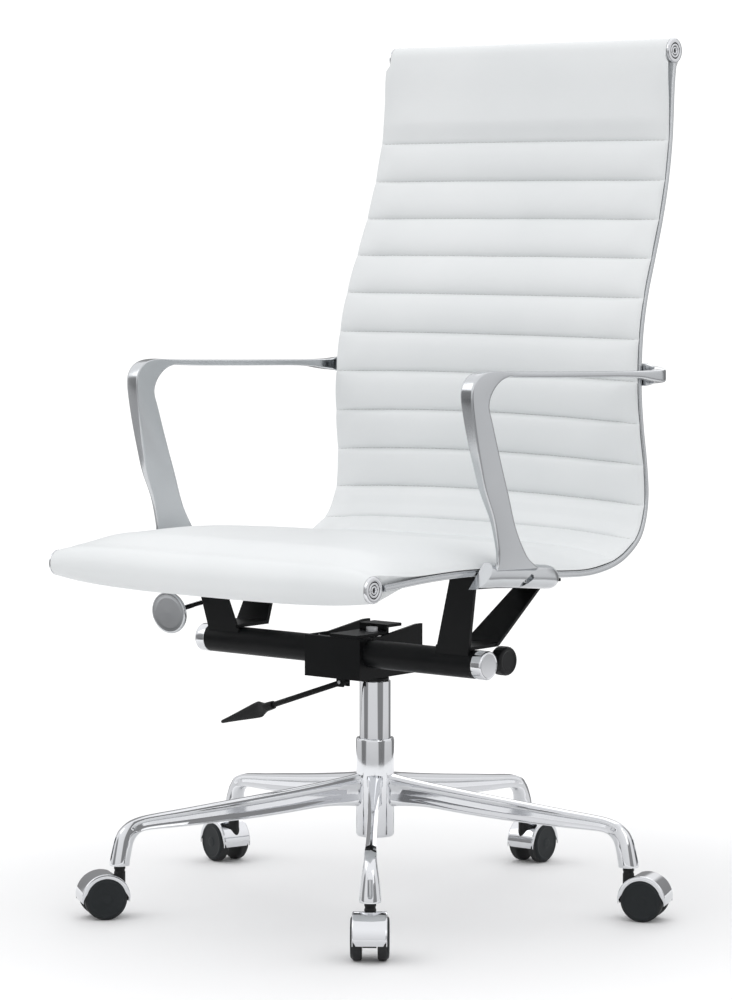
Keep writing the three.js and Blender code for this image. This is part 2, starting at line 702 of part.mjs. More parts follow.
// Rear end of the arm: it turns inwards behind the rail and grows taller.
function armHook() {
  const back = hookBack();
  const front = back - arm.hookThick;
  const stations = [[0, 7.5, 8.5], [2.5, 3.5, 9], [8, 0.6, 9.5], [14, 0, 10], [26, 0, 13], [41, 0, 15]];
  return loft(stations.map(([inwards, short, half]) => {
    const x = armOuter - inwards;
    const [low, high] = [stretcher.z - half, stretcher.z + half];
    return [vec(x, front, low), vec(x, back - short, low), vec(x, back - short, high), vec(x, front, high)];
  }));
}

const footScrew = { y: -51, rise: -8, slope: 0.53, halfSlot: 9, radius: 3.1 };

function armGeometry() {
  const z = railHeight(footScrew.y) + footScrew.rise;
  const slots = [-1, 0, 1].map((k) => {
    const shift = k * footScrew.halfSlot;
    const at = (x) => vec(x, footScrew.y + shift * 0.88, z + shift * 0.88 * footScrew.slope);
    return bar(at(armOuter - 8), at(armOuter + 5), footScrew.radius + 0.7, 12);
  });
  const middle = sidePlate(armOutline(), armInner, armOuter);
  const clear = railOuter + 2 * gap + 0.8;
  const railRoom = block(armInner - 5, clear, -135, 30, seatHeight - 25, seatHeight + 15);
  return cut(cut(join(middle, armFoot(), armHook()), railRoom), ...slots);
}

function addArms() {
  placePair('arm', armGeometry(), satinAluminium);
  const z = railHeight(footScrew.y) + footScrew.rise;
  const { y, radius } = footScrew;
  const screw = bar(vec(armOuter - 7.5, y, z), vec(armOuter - 4, y, z), radius, 12);
  placePair('arm_screw', screw, steel);
}

// How far the rail or the sling's edge reaches below the rail line, whichever reaches further.
function edgeThick() {
  return Math.max(rail.thick / 2, sling.under);
}

// ---------- brackets under the seat ----------
function plateLow(y) {
  return railHeight(y) - edgeThick() - 2 * gap - plate.thick;
}

function supportBracket() {
  const half = bracket.thick / 2;
  const { y, z, radius } = torsion;
  // A strut from its low end to the plate; each end is [y, inner x, outer x] from the tube's end.
  const strut = (zLow, low, high, lean) => {
    const zHigh = plateLow(high[0]) - gap - 0.5;
    return loft([[zLow, ...low], [zHigh, ...high]].map(([pz, py, from, to]) => [
      vec(tubeEnd + from, py - half * lean, pz), vec(tubeEnd + to, py - half * lean, pz),
      vec(tubeEnd + to, py + half * lean, pz), vec(tubeEnd + from, py + half * lean, pz),
    ]));
  };
  const front = strut(z + 7, [-79.5, -59.5, -7.5], [-92, -25.5, 14.5], 1);
  const rear = strut(saddleTop - 3, [-23.5, -57.5, -4.5], [47, -19.5, 16.5], 1.35);
  const saddleLow = saddleTop - bracket.thick + gap;
  const saddle = block(tubeEnd - 57.5, tubeEnd - 5.5, -82, -20.6, saddleLow, saddleTop);
  const room = bar(vec(tubeEnd - 120, y, z), vec(tubeEnd + 40, y, z), radius + 2 * gap, 24);
  return cut(join(front, rear, saddle), room);
}

function mountPlate() {
  const outer = halfWidthAt(450);
  const inner = outer - plate.width;
  const steps = [plate.front, -60, 0, 40, plate.back];
  return loft(steps.map((y) => {
    const low = plateLow(y);
    return [
      vec(inner, y, low), vec(outer, y, low),
      vec(outer, y, low + plate.thick), vec(inner, y, low + plate.thick),
    ];
  }));
}

function backStretcher() {
  const { z, overRail, thick, height, arch } = stretcher;
  const half = halfWidthAt(z) + overRail;
  const front = stretcherFront();
  return loft([-1, -0.9, -0.6, -0.3, 0, 0.3, 0.6, 0.9, 1].map((u) => {
    const y = front + arch * Math.max(0, 1 - (u / 0.85) ** 2) ** 0.6;
    const high = (height / 2) * (0.8 + 0.2 * u * u);
    const x = u * half;
    const [low, top] = [z - high, z + high];
    return [vec(x, y, low), vec(x, y + thick, low), vec(x, y + thick, top), vec(x, y, top)];
  }));
}

function stretcherFront() {
  const { z, height } = stretcher;
  return Math.max(railBack(z - height / 2), railBack(z + height / 2)) + 2 * gap;
}

// The arm's hook lies against the back of the stretcher's end.
function hookBack() {
  return stretcherFront() + stretcher.thick + gap + arm.hookThick;
}

function railBack(z) {
  let best = railCurve.getPointAt(0);
  for (let i = 0; i <= 60; i += 0.5) {
    const point = railCurve.getPointAt(i / 100);
    if (Math.abs(point.z - z) < Math.abs(best.z - z)) best = point;
  }
  return best.y + edgeThick();
}

// ---------- the whole chair ----------
place('star_base', starBase(), chrome);
addCasters();
addColumn();
place('tilt_housing', tiltHousing(), blackPaint);
addTopBracket();
addHeightLever();
addTensionKnob();
addTorsionTube();
placePair('support_bracket', supportBracket(), blackPaint);
placePair('mount_plate', mountPlate(), blackPaint);
addTiltKnob();
placePair('side_rail', sideRail(), satinAluminium);
addRoll('top', topRoll);
addRoll('front', frontRoll);
place('sling_pad', slingPad(), leather);
place('back_stretcher', backStretcher(), satinAluminium);
addArms();

chair.updateMatrixWorld(true);
const bounds = new THREE.Box3().setFromObject(chair, true);
const middle = bounds.getCenter(new THREE.Vector3());
chair.position.set(-middle.x, -middle.y, -bounds.min.z);
chair.updateMatrixWorld(true);

export default chair;
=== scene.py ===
"""Looks of the swivel office chair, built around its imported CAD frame.

Lengths below are millimetres measured from the column axis on the floor, +Z up, the sitter facing -Y.
at() turns such a place into the frame's metres.
"""

import json
import math

import bmesh
import bpy
from mathutils import Matrix, Vector, noise


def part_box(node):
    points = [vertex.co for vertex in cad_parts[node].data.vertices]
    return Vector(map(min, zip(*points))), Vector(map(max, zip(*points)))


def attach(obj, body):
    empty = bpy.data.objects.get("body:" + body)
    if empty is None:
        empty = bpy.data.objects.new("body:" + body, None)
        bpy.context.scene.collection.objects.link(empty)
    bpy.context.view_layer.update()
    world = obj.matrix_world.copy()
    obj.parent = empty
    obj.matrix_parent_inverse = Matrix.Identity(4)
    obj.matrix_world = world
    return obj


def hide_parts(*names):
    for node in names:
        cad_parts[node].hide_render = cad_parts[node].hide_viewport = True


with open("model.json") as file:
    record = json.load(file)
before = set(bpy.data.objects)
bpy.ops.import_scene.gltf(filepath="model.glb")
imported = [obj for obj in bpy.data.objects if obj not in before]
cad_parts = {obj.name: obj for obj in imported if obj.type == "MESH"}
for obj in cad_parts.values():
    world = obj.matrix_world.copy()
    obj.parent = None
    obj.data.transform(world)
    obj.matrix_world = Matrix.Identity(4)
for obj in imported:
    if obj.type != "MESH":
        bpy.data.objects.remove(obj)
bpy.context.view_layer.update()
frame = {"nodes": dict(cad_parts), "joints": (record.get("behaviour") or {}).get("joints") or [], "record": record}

MM = 0.001
JOINTS = {j["name"]: j for j in frame["joints"]}
COLUMN = Vector(JOINTS["swivel"]["pos_m"][:2] + [0.0])
DEGREE = math.pi / 180


def at(x, y, z):
    """A place in millimetres from the column's foot, in the frame's metres."""
    return COLUMN + Vector((x, y, z)) * MM


def from_frame(point):
    """The reverse of at()."""
    return (Vector(point) - COLUMN) / MM


# ---- sizes shared by the pieces
LEGS = 5
LEG_REACH = (from_frame(JOINTS["caster_1_swivel"]["pos_m"]).xy).length
LEG_TURNS = []
for leg_number in range(1, LEGS + 1):
    spot = from_frame(JOINTS[f"caster_{leg_number}_swivel"]["pos_m"])
    LEG_TURNS.append(math.atan2(spot.y, spot.x))
TRAIL = 22.0
WHEEL_RADIUS = from_frame(JOINTS["wheel_1_a_roll"]["pos_m"]).z
TUBE_CENTRE = from_frame(JOINTS["tilt"]["pos_m"])
TOP_ROLL = (333.0, 1111.0)
FRONT_ROLL = (-319.7, 453.8)
ROLL_RADIUS = 16.5
ROLL_INSET = 6.0
RAIL_POINTS = [
    (324.6, 1075), (314.8, 994), (303.4, 940), (287.8, 889.5), (268.8, 840.4), (249, 788.5),
    (236.2, 737), (230.2, 672), (232.4, 622), (238.2, 572), (239.4, 532), (233, 502.4),
    (221.3, 480.5), (200, 463.8), (169, 450), (117, 441.8), (56, 443.1), (-30, 451.4),
    (-116, 458.4), (-200, 459.3),
]
RAIL_THICK = 8.0
RAIL_WIDTH = 8.5
BACK_CROWN = 4.0
SEAT_CROWN = 28.0
FRONT_SAG = 10.0
HALF_WIDTH, MIDDLE_HEIGHT, SIDE_LEAN = 253.0, 756.0, 0.0396
ROLL_FADE = 55.0
HEM_START = 0.974
PLATE_HALF = 34.5
SEAT_LEVEL = 450.0
CROSS_TUBE_HALF = 223.5
CAMERA_PLACE = (2903.76, -3522.69, 901.8)
CAMERA_WAY = (-0.63595, 0.76739, -0.08177)
CAMERA_LENS = 127.1
FLOOR_REACH = 1.35


def half_width(z):
    """Half the sling's width at a height: the sides lean in towards the top."""
    return HALF_WIDTH - SIDE_LEAN * (z - MIDDLE_HEIGHT)


# ---- node materials
def material(name, color, roughness, metallic=0.0, **sockets):
    """A Principled material; the other sockets are given by name with _ for spaces."""
    made = bpy.data.materials.new(name)
    made.use_nodes = True
    shader = made.node_tree.nodes["Principled BSDF"]
    shader.inputs["Base Color"].default_value = (*color, 1)
    shader.inputs["Roughness"].default_value = roughness
    shader.inputs["Metallic"].default_value = metallic
    for socket, value in sockets.items():
        shader.inputs[socket.replace("_", " ")].default_value = value
    return made


def add_node(tree, kind, settings=None, **inputs):
    node = tree.nodes.new(kind)
    for key, value in (settings or {}).items():
        setattr(node, key, value)
    for key, value in inputs.items():
        socket = node.inputs[key.replace("_", " ")]
        if hasattr(value, "is_output"):
            tree.links.new(value, socket)
        else:
            socket.default_value = value
    return node


def two_tone(tree, factor, low, high):
    """A colour ramp between two stops, each given as (position, colour)."""
    ramp = add_node(tree, "ShaderNodeValToRGB", Fac=factor)
    for stop, (position, color) in zip(ramp.color_ramp.elements, (low, high)):
        stop.position = position
        stop.color = (*color, 1)
    return ramp


def object_place(tree):
    return add_node(tree, "ShaderNodeTexCoord").outputs["Object"]


def add_grain(made, scale, strength, distance, detail=4.0, rough=None, tint=None, tint_scale=6.0):
    """Bump from fine noise, with slow changes of roughness and colour where they are asked for."""
    tree = made.node_tree
    shader = tree.nodes["Principled BSDF"]
    place = object_place(tree)
    fine = add_node(tree, "ShaderNodeTexNoise", Vector=place, Scale=scale, Detail=detail, Roughness=0.6)
    bump = add_node(tree, "ShaderNodeBump", Height=fine.outputs["Fac"], Strength=strength, Distance=distance)
    tree.links.new(bump.outputs["Normal"], shader.inputs["Normal"])
    slow = add_node(tree, "ShaderNodeTexNoise", Vector=place, Scale=tint_scale, Detail=3.0)
    if rough:
        least, most = rough
        spread = add_node(tree, "ShaderNodeMapRange", Value=slow.outputs["Fac"], To_Min=least, To_Max=most)
        tree.links.new(spread.outputs["Result"], shader.inputs["Roughness"])
    if tint:
        ramp = two_tone(tree, slow.outputs["Fac"], (0.3, tint[0]), (0.7, tint[1]))
        tree.links.new(ramp.outputs["Color"], shader.inputs["Base Color"])
    return made


def leather_material():
    """Smooth white upholstery leather: fine pebbled grain, faint creases, slow changes of tone."""
    made = material("white_leather", (0.74, 0.755, 0.76), 0.42, Specular_IOR_Level=0.4)
    tree = made.node_tree
    shader = tree.nodes["Principled BSDF"]
    place = object_place(tree)
    pores = add_node(tree, "ShaderNodeTexVoronoi", {"feature": "F1"}, Vector=place, Scale=720.0)
    fine = add_node(tree, "ShaderNodeTexNoise", Vector=place, Scale=260.0, Detail=5.0, Roughness=0.65)
    creases = add_node(tree, "ShaderNodeTexNoise", Vector=place, Scale=26.0, Detail=4.0, Distortion=0.8)
    grain = add_node(tree, "ShaderNodeMix", {"data_type": "FLOAT"}, Factor=0.5)
    tree.links.new(pores.outputs["Distance"], grain.inputs[2])
    tree.links.new(fine.outputs["Fac"], grain.inputs[3])
    small = add_node(tree, "ShaderNodeBump", Height=grain.outputs[0], Strength=0.16, Distance=0.0004)
    large = add_node(tree, "ShaderNodeBump", Height=creases.outputs["Fac"], Strength=0.10, Distance=0.004)
    tree.links.new(small.outputs["Normal"], large.inputs["Normal"])
    tree.links.new(large.outputs["Normal"], shader.inputs["Normal"])
    tone = add_node(tree, "ShaderNodeTexNoise", Vector=place, Scale=4.0, Detail=4.0)
    darker, lighter = (0.73, 0.75, 0.755), (0.775, 0.792, 0.795)
    ramp = two_tone(tree, tone.outputs["Fac"], (0.32, darker), (0.68, lighter))
    tree.links.new(ramp.outputs["Color"], shader.inputs["Base Color"])
    sheen = add_node(tree, "ShaderNodeMapRange", Value=tone.outputs["Fac"], To_Min=0.36, To_Max=0.5)
    tree.links.new(sheen.outputs["Result"], shader.inputs["Roughness"])
    return made


LEATHER = leather_material()
CHROME = add_grain(
    material("chrome", (0.68, 0.69, 0.71), 0.06, 1.0), 35.0, 0.02, 0.002, 2.0, rough=(0.035, 0.09),
)
SATIN = add_grain(
    material("satin_aluminium", (0.56, 0.57, 0.585), 0.27, 1.0), 420.0, 0.05, 0.0003, 3.0,
    rough=(0.15, 0.24), tint=((0.5, 0.515, 0.53), (0.57, 0.585, 0.6)),
)
BLACK_PAINT = add_grain(
    material("black_paint", (0.006, 0.0065, 0.007), 0.36, 0.0, Specular_IOR_Level=0.1),
    600.0, 0.12, 0.0004, 4.0, rough=(0.3, 0.44), tint=((0.005, 0.0055, 0.006), (0.009, 0.0095, 0.01)),
)
BLACK_PLASTIC = add_grain(
    material("black_plastic", (0.008, 0.0085, 0.009), 0.42, Specular_IOR_Level=0.2), 900.0, 0.14, 0.0003, 3.0,
    rough=(0.36, 0.5), tint=((0.007, 0.0075, 0.008), (0.012, 0.0125, 0.013)),
)
WHEEL_PLASTIC = add_grain(
    material("wheel_plastic", (0.015, 0.0175, 0.019), 0.5, Specular_IOR_Level=0.2), 800.0, 0.16, 0.0004, 3.0,
    rough=(0.42, 0.6), tint=((0.012, 0.0145, 0.016), (0.018, 0.021, 0.023)), tint_scale=14.0,
)
TREAD_RUBBER = add_grain(
    material("tread_rubber", (0.012, 0.013, 0.014), 0.62, Specular_IOR_Level=0.35), 700.0, 0.2, 0.0004, 3.0,
    rough=(0.55, 0.7), tint=((0.01, 0.011, 0.012), (0.017, 0.018, 0.019)), tint_scale=20.0,
)
STEEL = add_grain(
    material("steel", (0.5, 0.51, 0.52), 0.3, 1.0), 500.0, 0.1, 0.0003, 3.0,
    rough=(0.24, 0.38), tint=((0.44, 0.45, 0.46), (0.56, 0.57, 0.58)),
)
THREAD = add_grain(material("stitch_thread", (0.62, 0.63, 0.62), 0.7), 2500.0, 0.4, 0.0002, 2.0)
# painted shade: near-black colour laid into recesses where only shade falls; also the throwaway cutters' material
PAINTED_RECESS_SHADE = add_grain(material("painted_shade_dark", (0.02, 0.02, 0.021), 0.8), 500.0, 0.1, 0.0003)

SLOT_MATERIAL = {
    "chrome": CHROME, "satin_aluminium": SATIN, "black_paint": BLACK_PAINT, "black_plastic": BLACK_PLASTIC,
    "wheel_plastic": WHEEL_PLASTIC, "steel": STEEL, "white_leather": LEATHER,
}


# ---- mesh helpers (millimetres in, metres out)
def placed(name, data):
    """A new object of the scene for the data."""
    made = bpy.data.objects.new(name, data)
    bpy.context.scene.collection.objects.link(made)
    return made


def aim(made, way):
    """Turns a camera or a lamp to look along a direction."""
    made.rotation_mode = "QUATERNION"
    made.rotation_quaternion = Vector(way).to_track_quat("-Z", "Y")


def piece(name, points, faces, made_of, sharp=32):
    """An object from points in millimetres; edges steeper than sharp degrees stay crisp."""
    mesh = bpy.data.meshes.new(name)
    mesh.from_pydata([at(*p) for p in points], [], faces)
    tidy = bmesh.new()
    tidy.from_mesh(mesh)
    bmesh.ops.remove_doubles(tidy, verts=tidy.verts, dist=1e-6)
    bmesh.ops.recalc_face_normals(tidy, faces=tidy.faces)
    tidy.to_mesh(mesh)
    tidy.free()
    mesh.polygons.foreach_set("use_smooth", [True] * len(mesh.polygons))
    mesh.set_sharp_from_angle(angle=sharp * DEGREE)
    mesh.materials.append(made_of)
    return placed(name, mesh)


def loft(rings, closed=False, caps=True):
    """Points and faces of a skin over rings of equal count."""
    count = len(rings[0])
    points = [p for ring in rings for p in ring]
    faces = []
    rows = len(rings)
    for r in range(rows if closed else rows - 1):
        for i in range(count):
            j = (i + 1) % count
            a, b = r * count, ((r + 1) % rows) * count
            faces.append((a + i, a + j, b + j, b + i))
    if caps and not closed:
        faces.append(tuple(reversed(range(count))))
        faces.append(tuple(range((rows - 1) * count, rows * count)))
    return points, faces


def turned(profile, origin, axis, segments=64, closed=False):
    """A solid of revolution: profile is (radius, distance along the axis from origin)."""
    origin, axis = Vector(origin), Vector(axis).normalized()
    side = axis.orthogonal().normalized()
    other = axis.cross(side)
    rings = []
    for radius, along in profile:
        middle = origin + axis * along
        radius = max(radius, 0.01)
        rings.append([
            middle + side * (radius * math.cos(t)) + other * (radius * math.sin(t))
            for t in (2 * math.pi * k / segments for k in range(segments))
        ])
    return loft(rings, closed)


def rounded(profile, radius, steps=3):
    """The same (radius, along) profile with its inner corners rounded off."""
    out = [profile[0]]
    for before, here, after in zip(profile, profile[1:], profile[2:]):
        p, q, r = Vector(before), Vector(here), Vector(after)
        size = min(radius, (p - q).length / 2.2, (r - q).length / 2.2)
        if size < 0.05:
            out.append(here)
            continue
        start, end = q + (p - q).normalized() * size, q + (r - q).normalized() * size
        for k in range(steps + 1):
            t = k / steps
            out.append(tuple(start * (1 - t) ** 2 + q * (2 * t * (1 - t)) + end * t * t))
    out.append(profile[-1])
    return out


def soft_ring(corners, radii, steps=4):
    """A ring of 3-D points through corners, each rounded off by its own radius."""
    out = []
    count = len(corners)
    for i, corner in enumerate(corners):
        q = Vector(corner)
        p, r = Vector(corners[i - 1]), Vector(corners[(i + 1) % count])
        size_in = min(radii[i], (p - q).length / 2.05)
        size_out = min(radii[i], (r - q).length / 2.05)
        start = q + (p - q).normalized() * size_in if size_in > 0 else q
        end = q + (r - q).normalized() * size_out if size_out > 0 else q
        for k in range(steps + 1):
            t = k / steps
            out.append(start * (1 - t) ** 2 + q * (2 * t * (1 - t)) + end * t * t)
    return out


def smooth_rows(rows, per):
    """More rows between the given ones, each number on a Catmull-Rom curve."""
    out = []
    last = len(rows) - 1
    for i in range(last):
        a, b = rows[max(i - 1, 0)], rows[i]
        c, d = rows[i + 1], rows[min(i + 2, last)]
        for k in range(per):
            t = k / per
            out.append([
                q + 0.5 * t * (r - p + (2 * p - 5 * q + 4 * r - s) * t + (3 * q - p - 3 * r + s) * t * t)
                for p, q, r, s in zip(a, b, c, d)
            ])
    out.append(list(rows[-1]))
    return out


def rod(start, end, radius, segments=32, edge=0.6):
    """A round bar with softened ends."""
    start, end = Vector(start), Vector(end)
    length = (end - start).length
    profile = rounded([(0, 0), (radius, 0), (radius, length), (0, length)], edge, 2)
    return turned(profile, start, end - start, segments)


def joined(*skins):
    """Several skins as one list of points and faces."""
    points, faces = [], []
    for more_points, more_faces in skins:
        shift = len(points)
        points += list(more_points)
        faces += [tuple(i + shift for i in face) for face in more_faces]
    return points, faces


def mirrored(skin):
    points, faces = skin
    return [(-p[0], p[1], p[2]) for p in points], [tuple(reversed(face)) for face in faces]


def moved(skin, matrix):
    points, faces = skin
    return [matrix @ Vector(p) for p in points], faces


def settle(made, body, slot, *nodes):
    """Rides on its body and stands for its CAD nodes; the slot it is given is not used."""
    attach(made, body)
    if nodes:
        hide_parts(*nodes)
    return made


def soften(made, width, segments=2, angle=40):
    """Rounds the crisp edges."""
    bevel = made.modifiers.new("edges", "BEVEL")
    bevel.width = width * MM
    bevel.segments = segments
    bevel.limit_method = "ANGLE"
    bevel.angle_limit = angle * DEGREE
    bevel.harden_normals = True
    return made


def carve(made, *skins):
    """Cuts skins out of a piece and keeps the result as its mesh."""
    for skin in skins:
        cutter = piece("cutter", *skin, PAINTED_RECESS_SHADE)
        cutting = made.modifiers.new("cut", "BOOLEAN")
        cutting.operation = "DIFFERENCE"
        cutting.solver = "EXACT"
        cutting.object = cutter
        bpy.context.view_layer.update()
        shape = bpy.data.meshes.new_from_object(made.evaluated_get(bpy.context.evaluated_depsgraph_get()))
        made.modifiers.clear()
        made.data = shape
        bpy.data.objects.remove(cutter)
    made.data.set_sharp_from_angle(angle=32 * DEGREE)
    return made


def both_sides(name, skin, made_of, slot, node=None, sharp=32, cut=None):
    """A right-hand piece of the seat frame and its mirror image on the left."""
    for side, turn in (("right", lambda shape: shape), ("left", mirrored)):
        made = piece(f"{name}_{side}", *turn(skin), made_of, sharp=sharp)
        if cut:
            carve(made, turn(cut))
        settle(made, "seat_frame", slot, *([f"{node}_{side}"] if node else []))


# ---- the rail's centre line
def centre_line(samples=900):
    """Evenly spaced (y, z) points on a smooth curve through the rolls and the rail points."""
    keys = [Vector(p) for p in [TOP_ROLL, *RAIL_POINTS, FRONT_ROLL]]
    keys = [keys[0] * 2 - keys[1], *keys, keys[-1] * 2 - keys[-2]]
    dense = []
    for p0, p1, p2, p3 in zip(keys, keys[1:], keys[2:], keys[3:]):
        t1 = (p1 - p0).length ** 0.5
        t2 = t1 + (p2 - p1).length ** 0.5
        t3 = t2 + (p3 - p2).length ** 0.5
        for k in range(24):
            t = t1 + (t2 - t1) * k / 24
            a1 = p0 * ((t1 - t) / t1) + p1 * (t / t1)
            a2 = p1 * ((t2 - t) / (t2 - t1)) + p2 * ((t - t1) / (t2 - t1))
            a3 = p2 * ((t3 - t) / (t3 - t2)) + p3 * ((t - t2) / (t3 - t2))
            b1 = a1 * ((t2 - t) / t2) + a2 * (t / t2)
            b2 = a2 * ((t3 - t) / (t3 - t1)) + a3 * ((t - t1) / (t3 - t1))
            dense.append(b1 * ((t2 - t) / (t2 - t1)) + b2 * ((t - t1) / (t2 - t1)))
    dense.append(keys[-2])
    travelled = [0.0]
    for p, q in zip(dense, dense[1:]):
        travelled.append(travelled[-1] + (q - p).length)
    even, k = [], 0
    for i in range(samples + 1):
        goal = travelled[-1] * i / samples
        while k < len(dense) - 2 and travelled[k + 1] < goal:
            k += 1
        share = (goal - travelled[k]) / max(travelled[k + 1] - travelled[k], 1e-9)
        even.append(dense[k].lerp(dense[k + 1], share))
    return even, travelled[-1]


LINE, LINE_LENGTH = centre_line()


def line_at(s):
    """Point and upper-side normal at s millimetres from the top roll, as (y, z) vectors."""
    f = min(max(s / LINE_LENGTH, 0), 1) * (len(LINE) - 1)
    i = min(int(f), len(LINE) - 2)
    point = LINE[i].lerp(LINE[i + 1], f - i)
    reach = 6
    ahead, behind = LINE[min(i + reach, len(LINE) - 1)], LINE[max(i - reach, 0)]
    way = (ahead - behind).normalized()
    return point, Vector((way.y, -way.x))


def nearest_s(y, z):
    """How far along the centre line the nearest point to (y, z) is."""
    goal = Vector((y, z))
    best = min(range(len(LINE)), key=lambda i: (LINE[i] - goal).length)
    return LINE_LENGTH * best / (len(LINE) - 1)


def rail_height(y):
    """Height of the rail's centre line where it passes y under the seat."""
    under = range(len(LINE) * 2 // 5, len(LINE))
    return LINE[min(under, key=lambda i: abs(LINE[i].x - y))].y


# ---- sling: seat and back in one
FIRST_SEAM = (314.6, 993)
LAST_SEAM = (237.4, 518)
RIBS = 9
BEND_SEAMS = 2
SEAM_DEPTH = 3.0
RIB_RISE = 5.6


def seam_places():
    """Distances of the sewn seams along the centre line, evenly spaced, with two more in the bend."""
    first, last = nearest_s(*FIRST_SEAM), nearest_s(*LAST_SEAM)
    step = (last - first) / RIBS
    return [first + step * i for i in range(RIBS + 1 + BEND_SEAMS)]


SEAMS = seam_places()
SEAM_STEP = SEAMS[1] - SEAMS[0]


def smoothstep(low, high, x):
    t = min(max((x - low) / (high - low), 0), 1)
    return t * t * (3 - 2 * t)


def bow(s, u):
    """The lower seams curve upwards in the middle."""
    strength = smoothstep(SEAMS[4], SEAMS[8], s) * (1 - smoothstep(SEAMS[-1] + 40, SEAMS[-1] + 160, s))
    return 9.0 * strength * (1 - u * u)


def seam_strength(k):
    """The seams in the bend fade out into the seat."""
    return [1.0, 0.75, 0.45][max(0, k - RIBS)]


def rib_height(s):
    """Rise of the padding between the seams, with a narrow groove at each seam."""
    if s <= 0 or s >= SEAMS[-1] + SEAM_STEP * 1.2:
        return 0.0
    nearest = min(range(len(SEAMS)), key=lambda k: abs(SEAMS[k] - s))
    away = abs(s - SEAMS[nearest])
    depth = SEAM_DEPTH * seam_strength(nearest)
    groove = -depth * math.exp(-((away / 2.6) ** 1.3))
    if SEAMS[0] < s < SEAMS[-1]:
        share = min(away / (SEAM_STEP / 2), 1)
        swell = RIB_RISE * seam_strength(nearest) * (1 - (1 - share) ** 2.4)
    else:
        swell = RIB_RISE * seam_strength(nearest) * smoothstep(0, SEAM_STEP * 0.55, away)
        fade = SEAMS[0] if s < SEAMS[0] else SEAM_STEP * 1.2
        swell *= 1 - smoothstep(SEAM_STEP * 0.45, fade, away)
    return groove + swell


def creases(s, u, side):
    """Slow, shallow unevenness of sewn leather, stronger where the sling is pulled to the rails."""
    edge = smoothstep(0.55, 0.97, abs(u)) * (1 - smoothstep(0.985, 1.0, abs(u)))
    lumbar = smoothstep(SEAMS[4], SEAMS[7], s) * (1 - smoothstep(SEAMS[-1] + 60, SEAMS[-1] + 220, s))
    spot = Vector((u * 5.0, s / 120.0, side * 7.0))
    pull = noise.noise(Vector((u * 9.0 + s / 60.0, s / 210.0, 3.0 + side)))
    return 0.55 * noise.noise(spot) + 1.5 * edge * (0.25 + lumbar) * pull


def roll_share(s):
    """1 at a roll's middle, fading to 0 along the sling."""
    return min(sum(math.exp(-((away / ROLL_FADE) ** 2)) for away in (s, LINE_LENGTH - s)), 1)


def hem_curve(u):
    """How the leather rounds off at the sling's side edge: 1 inside, 0 at the edge."""
    return math.sqrt(max(0.0, 1 - max(0.0, (abs(u) - HEM_START) / (1 - HEM_START)) ** 2))


def upper_offset(s, u):
    """Height of the sitter's side above the rail line."""
    from_top, from_front = s, LINE_LENGTH - s
    roll, hem = roll_share(s), hem_curve(u)
    seat = smoothstep(LINE_LENGTH * 0.5, LINE_LENGTH * 0.72, s)
    crown = BACK_CROWN + (SEAT_CROWN - BACK_CROWN) * seat
    crown *= smoothstep(0, 110, from_top) * (0.35 + 0.65 * smoothstep(0, 70, from_front))
    swell = crown * (1 - abs(u) ** (3.4 + 4.6 * seat))
    ribs = rib_height(s) * (1 - 0.55 * smoothstep(0.82, 0.97, abs(u)))
    relief = (ribs + creases(s, u, 1)) * (1 - roll)
    hem_low = RAIL_THICK / 2 + 0.5
    return (hem_low + 2.5 * hem) * (1 - roll) + ROLL_RADIUS * roll + (swell + relief) * hem


def lower_offset(s, u):
    """Depth of the underside below the rail line."""
    roll, hem = roll_share(s), hem_curve(u)
    sag = FRONT_SAG * smoothstep(LINE_LENGTH * 0.78, LINE_LENGTH * 0.96, s) * (1 - abs(u) ** 3.4)
    relief = (0.5 * rib_height(s) + 0.5 * creases(s, u, -1)) * (1 - roll)
    return (0.6 + 2.4 * hem) * (1 - roll) + ROLL_RADIUS * roll + (sag + relief) * hem


def roll_distance(s):
    return min(s, LINE_LENGTH - s)


def upper_edge(s, z):
    """Half width of the sitter's side: in front of the rails, drawn in to the rolls' ends."""
    return half_width(z) - 0.5 - (ROLL_INSET - 0.4) * (1 - smoothstep(13, 21, roll_distance(s)))


def lower_edge(s, z):
    """Half width of the underside: between the rails, and as wide as the rolls at their ends."""
    between = half_width(z) - RAIL_WIDTH - 0.7
    return between + (RAIL_WIDTH + 0.6 - ROLL_INSET) * (1 - smoothstep(10, 16.4, roll_distance(s)))


def sling_rows():
    """Distances along the sling where the mesh has a row, closer together at the seams."""
    rows = [0.0, 6, 13, 20, 28, 36, 45, ROLL_FADE]
    near = [0.6, 1.3, 2.2, 3.2, 4.5, 6.5, 9.5, 14, 20]
    clusters = [-26, *(-step for step in reversed(near)), 0, *near]
    above, below, last = SEAMS[0] - 30, SEAMS[-1] + 28, LINE_LENGTH - 60
    rows += [ROLL_FADE + (above - ROLL_FADE) * k / 9 for k in range(1, 10)]
    for seam in SEAMS:
        rows += [seam + step for step in clusters]
    rows += [below + (last - below) * k / 52 for k in range(53)]
    rows += [LINE_LENGTH - d for d in (52, 45, 37, 29, 21, 14, 7, 0)]
    return sorted(rows)


def sling_columns():
    """Places across the sling from -1 to 1, closer together at the side edges."""
    half = [k / 34 * 0.93 for k in range(35)]
    half += [0.945, 0.958, 0.968, 0.975, 0.981, 0.986, 0.990, 0.994, 0.997, 0.999]
    return [-u for u in reversed(half[1:])] + half


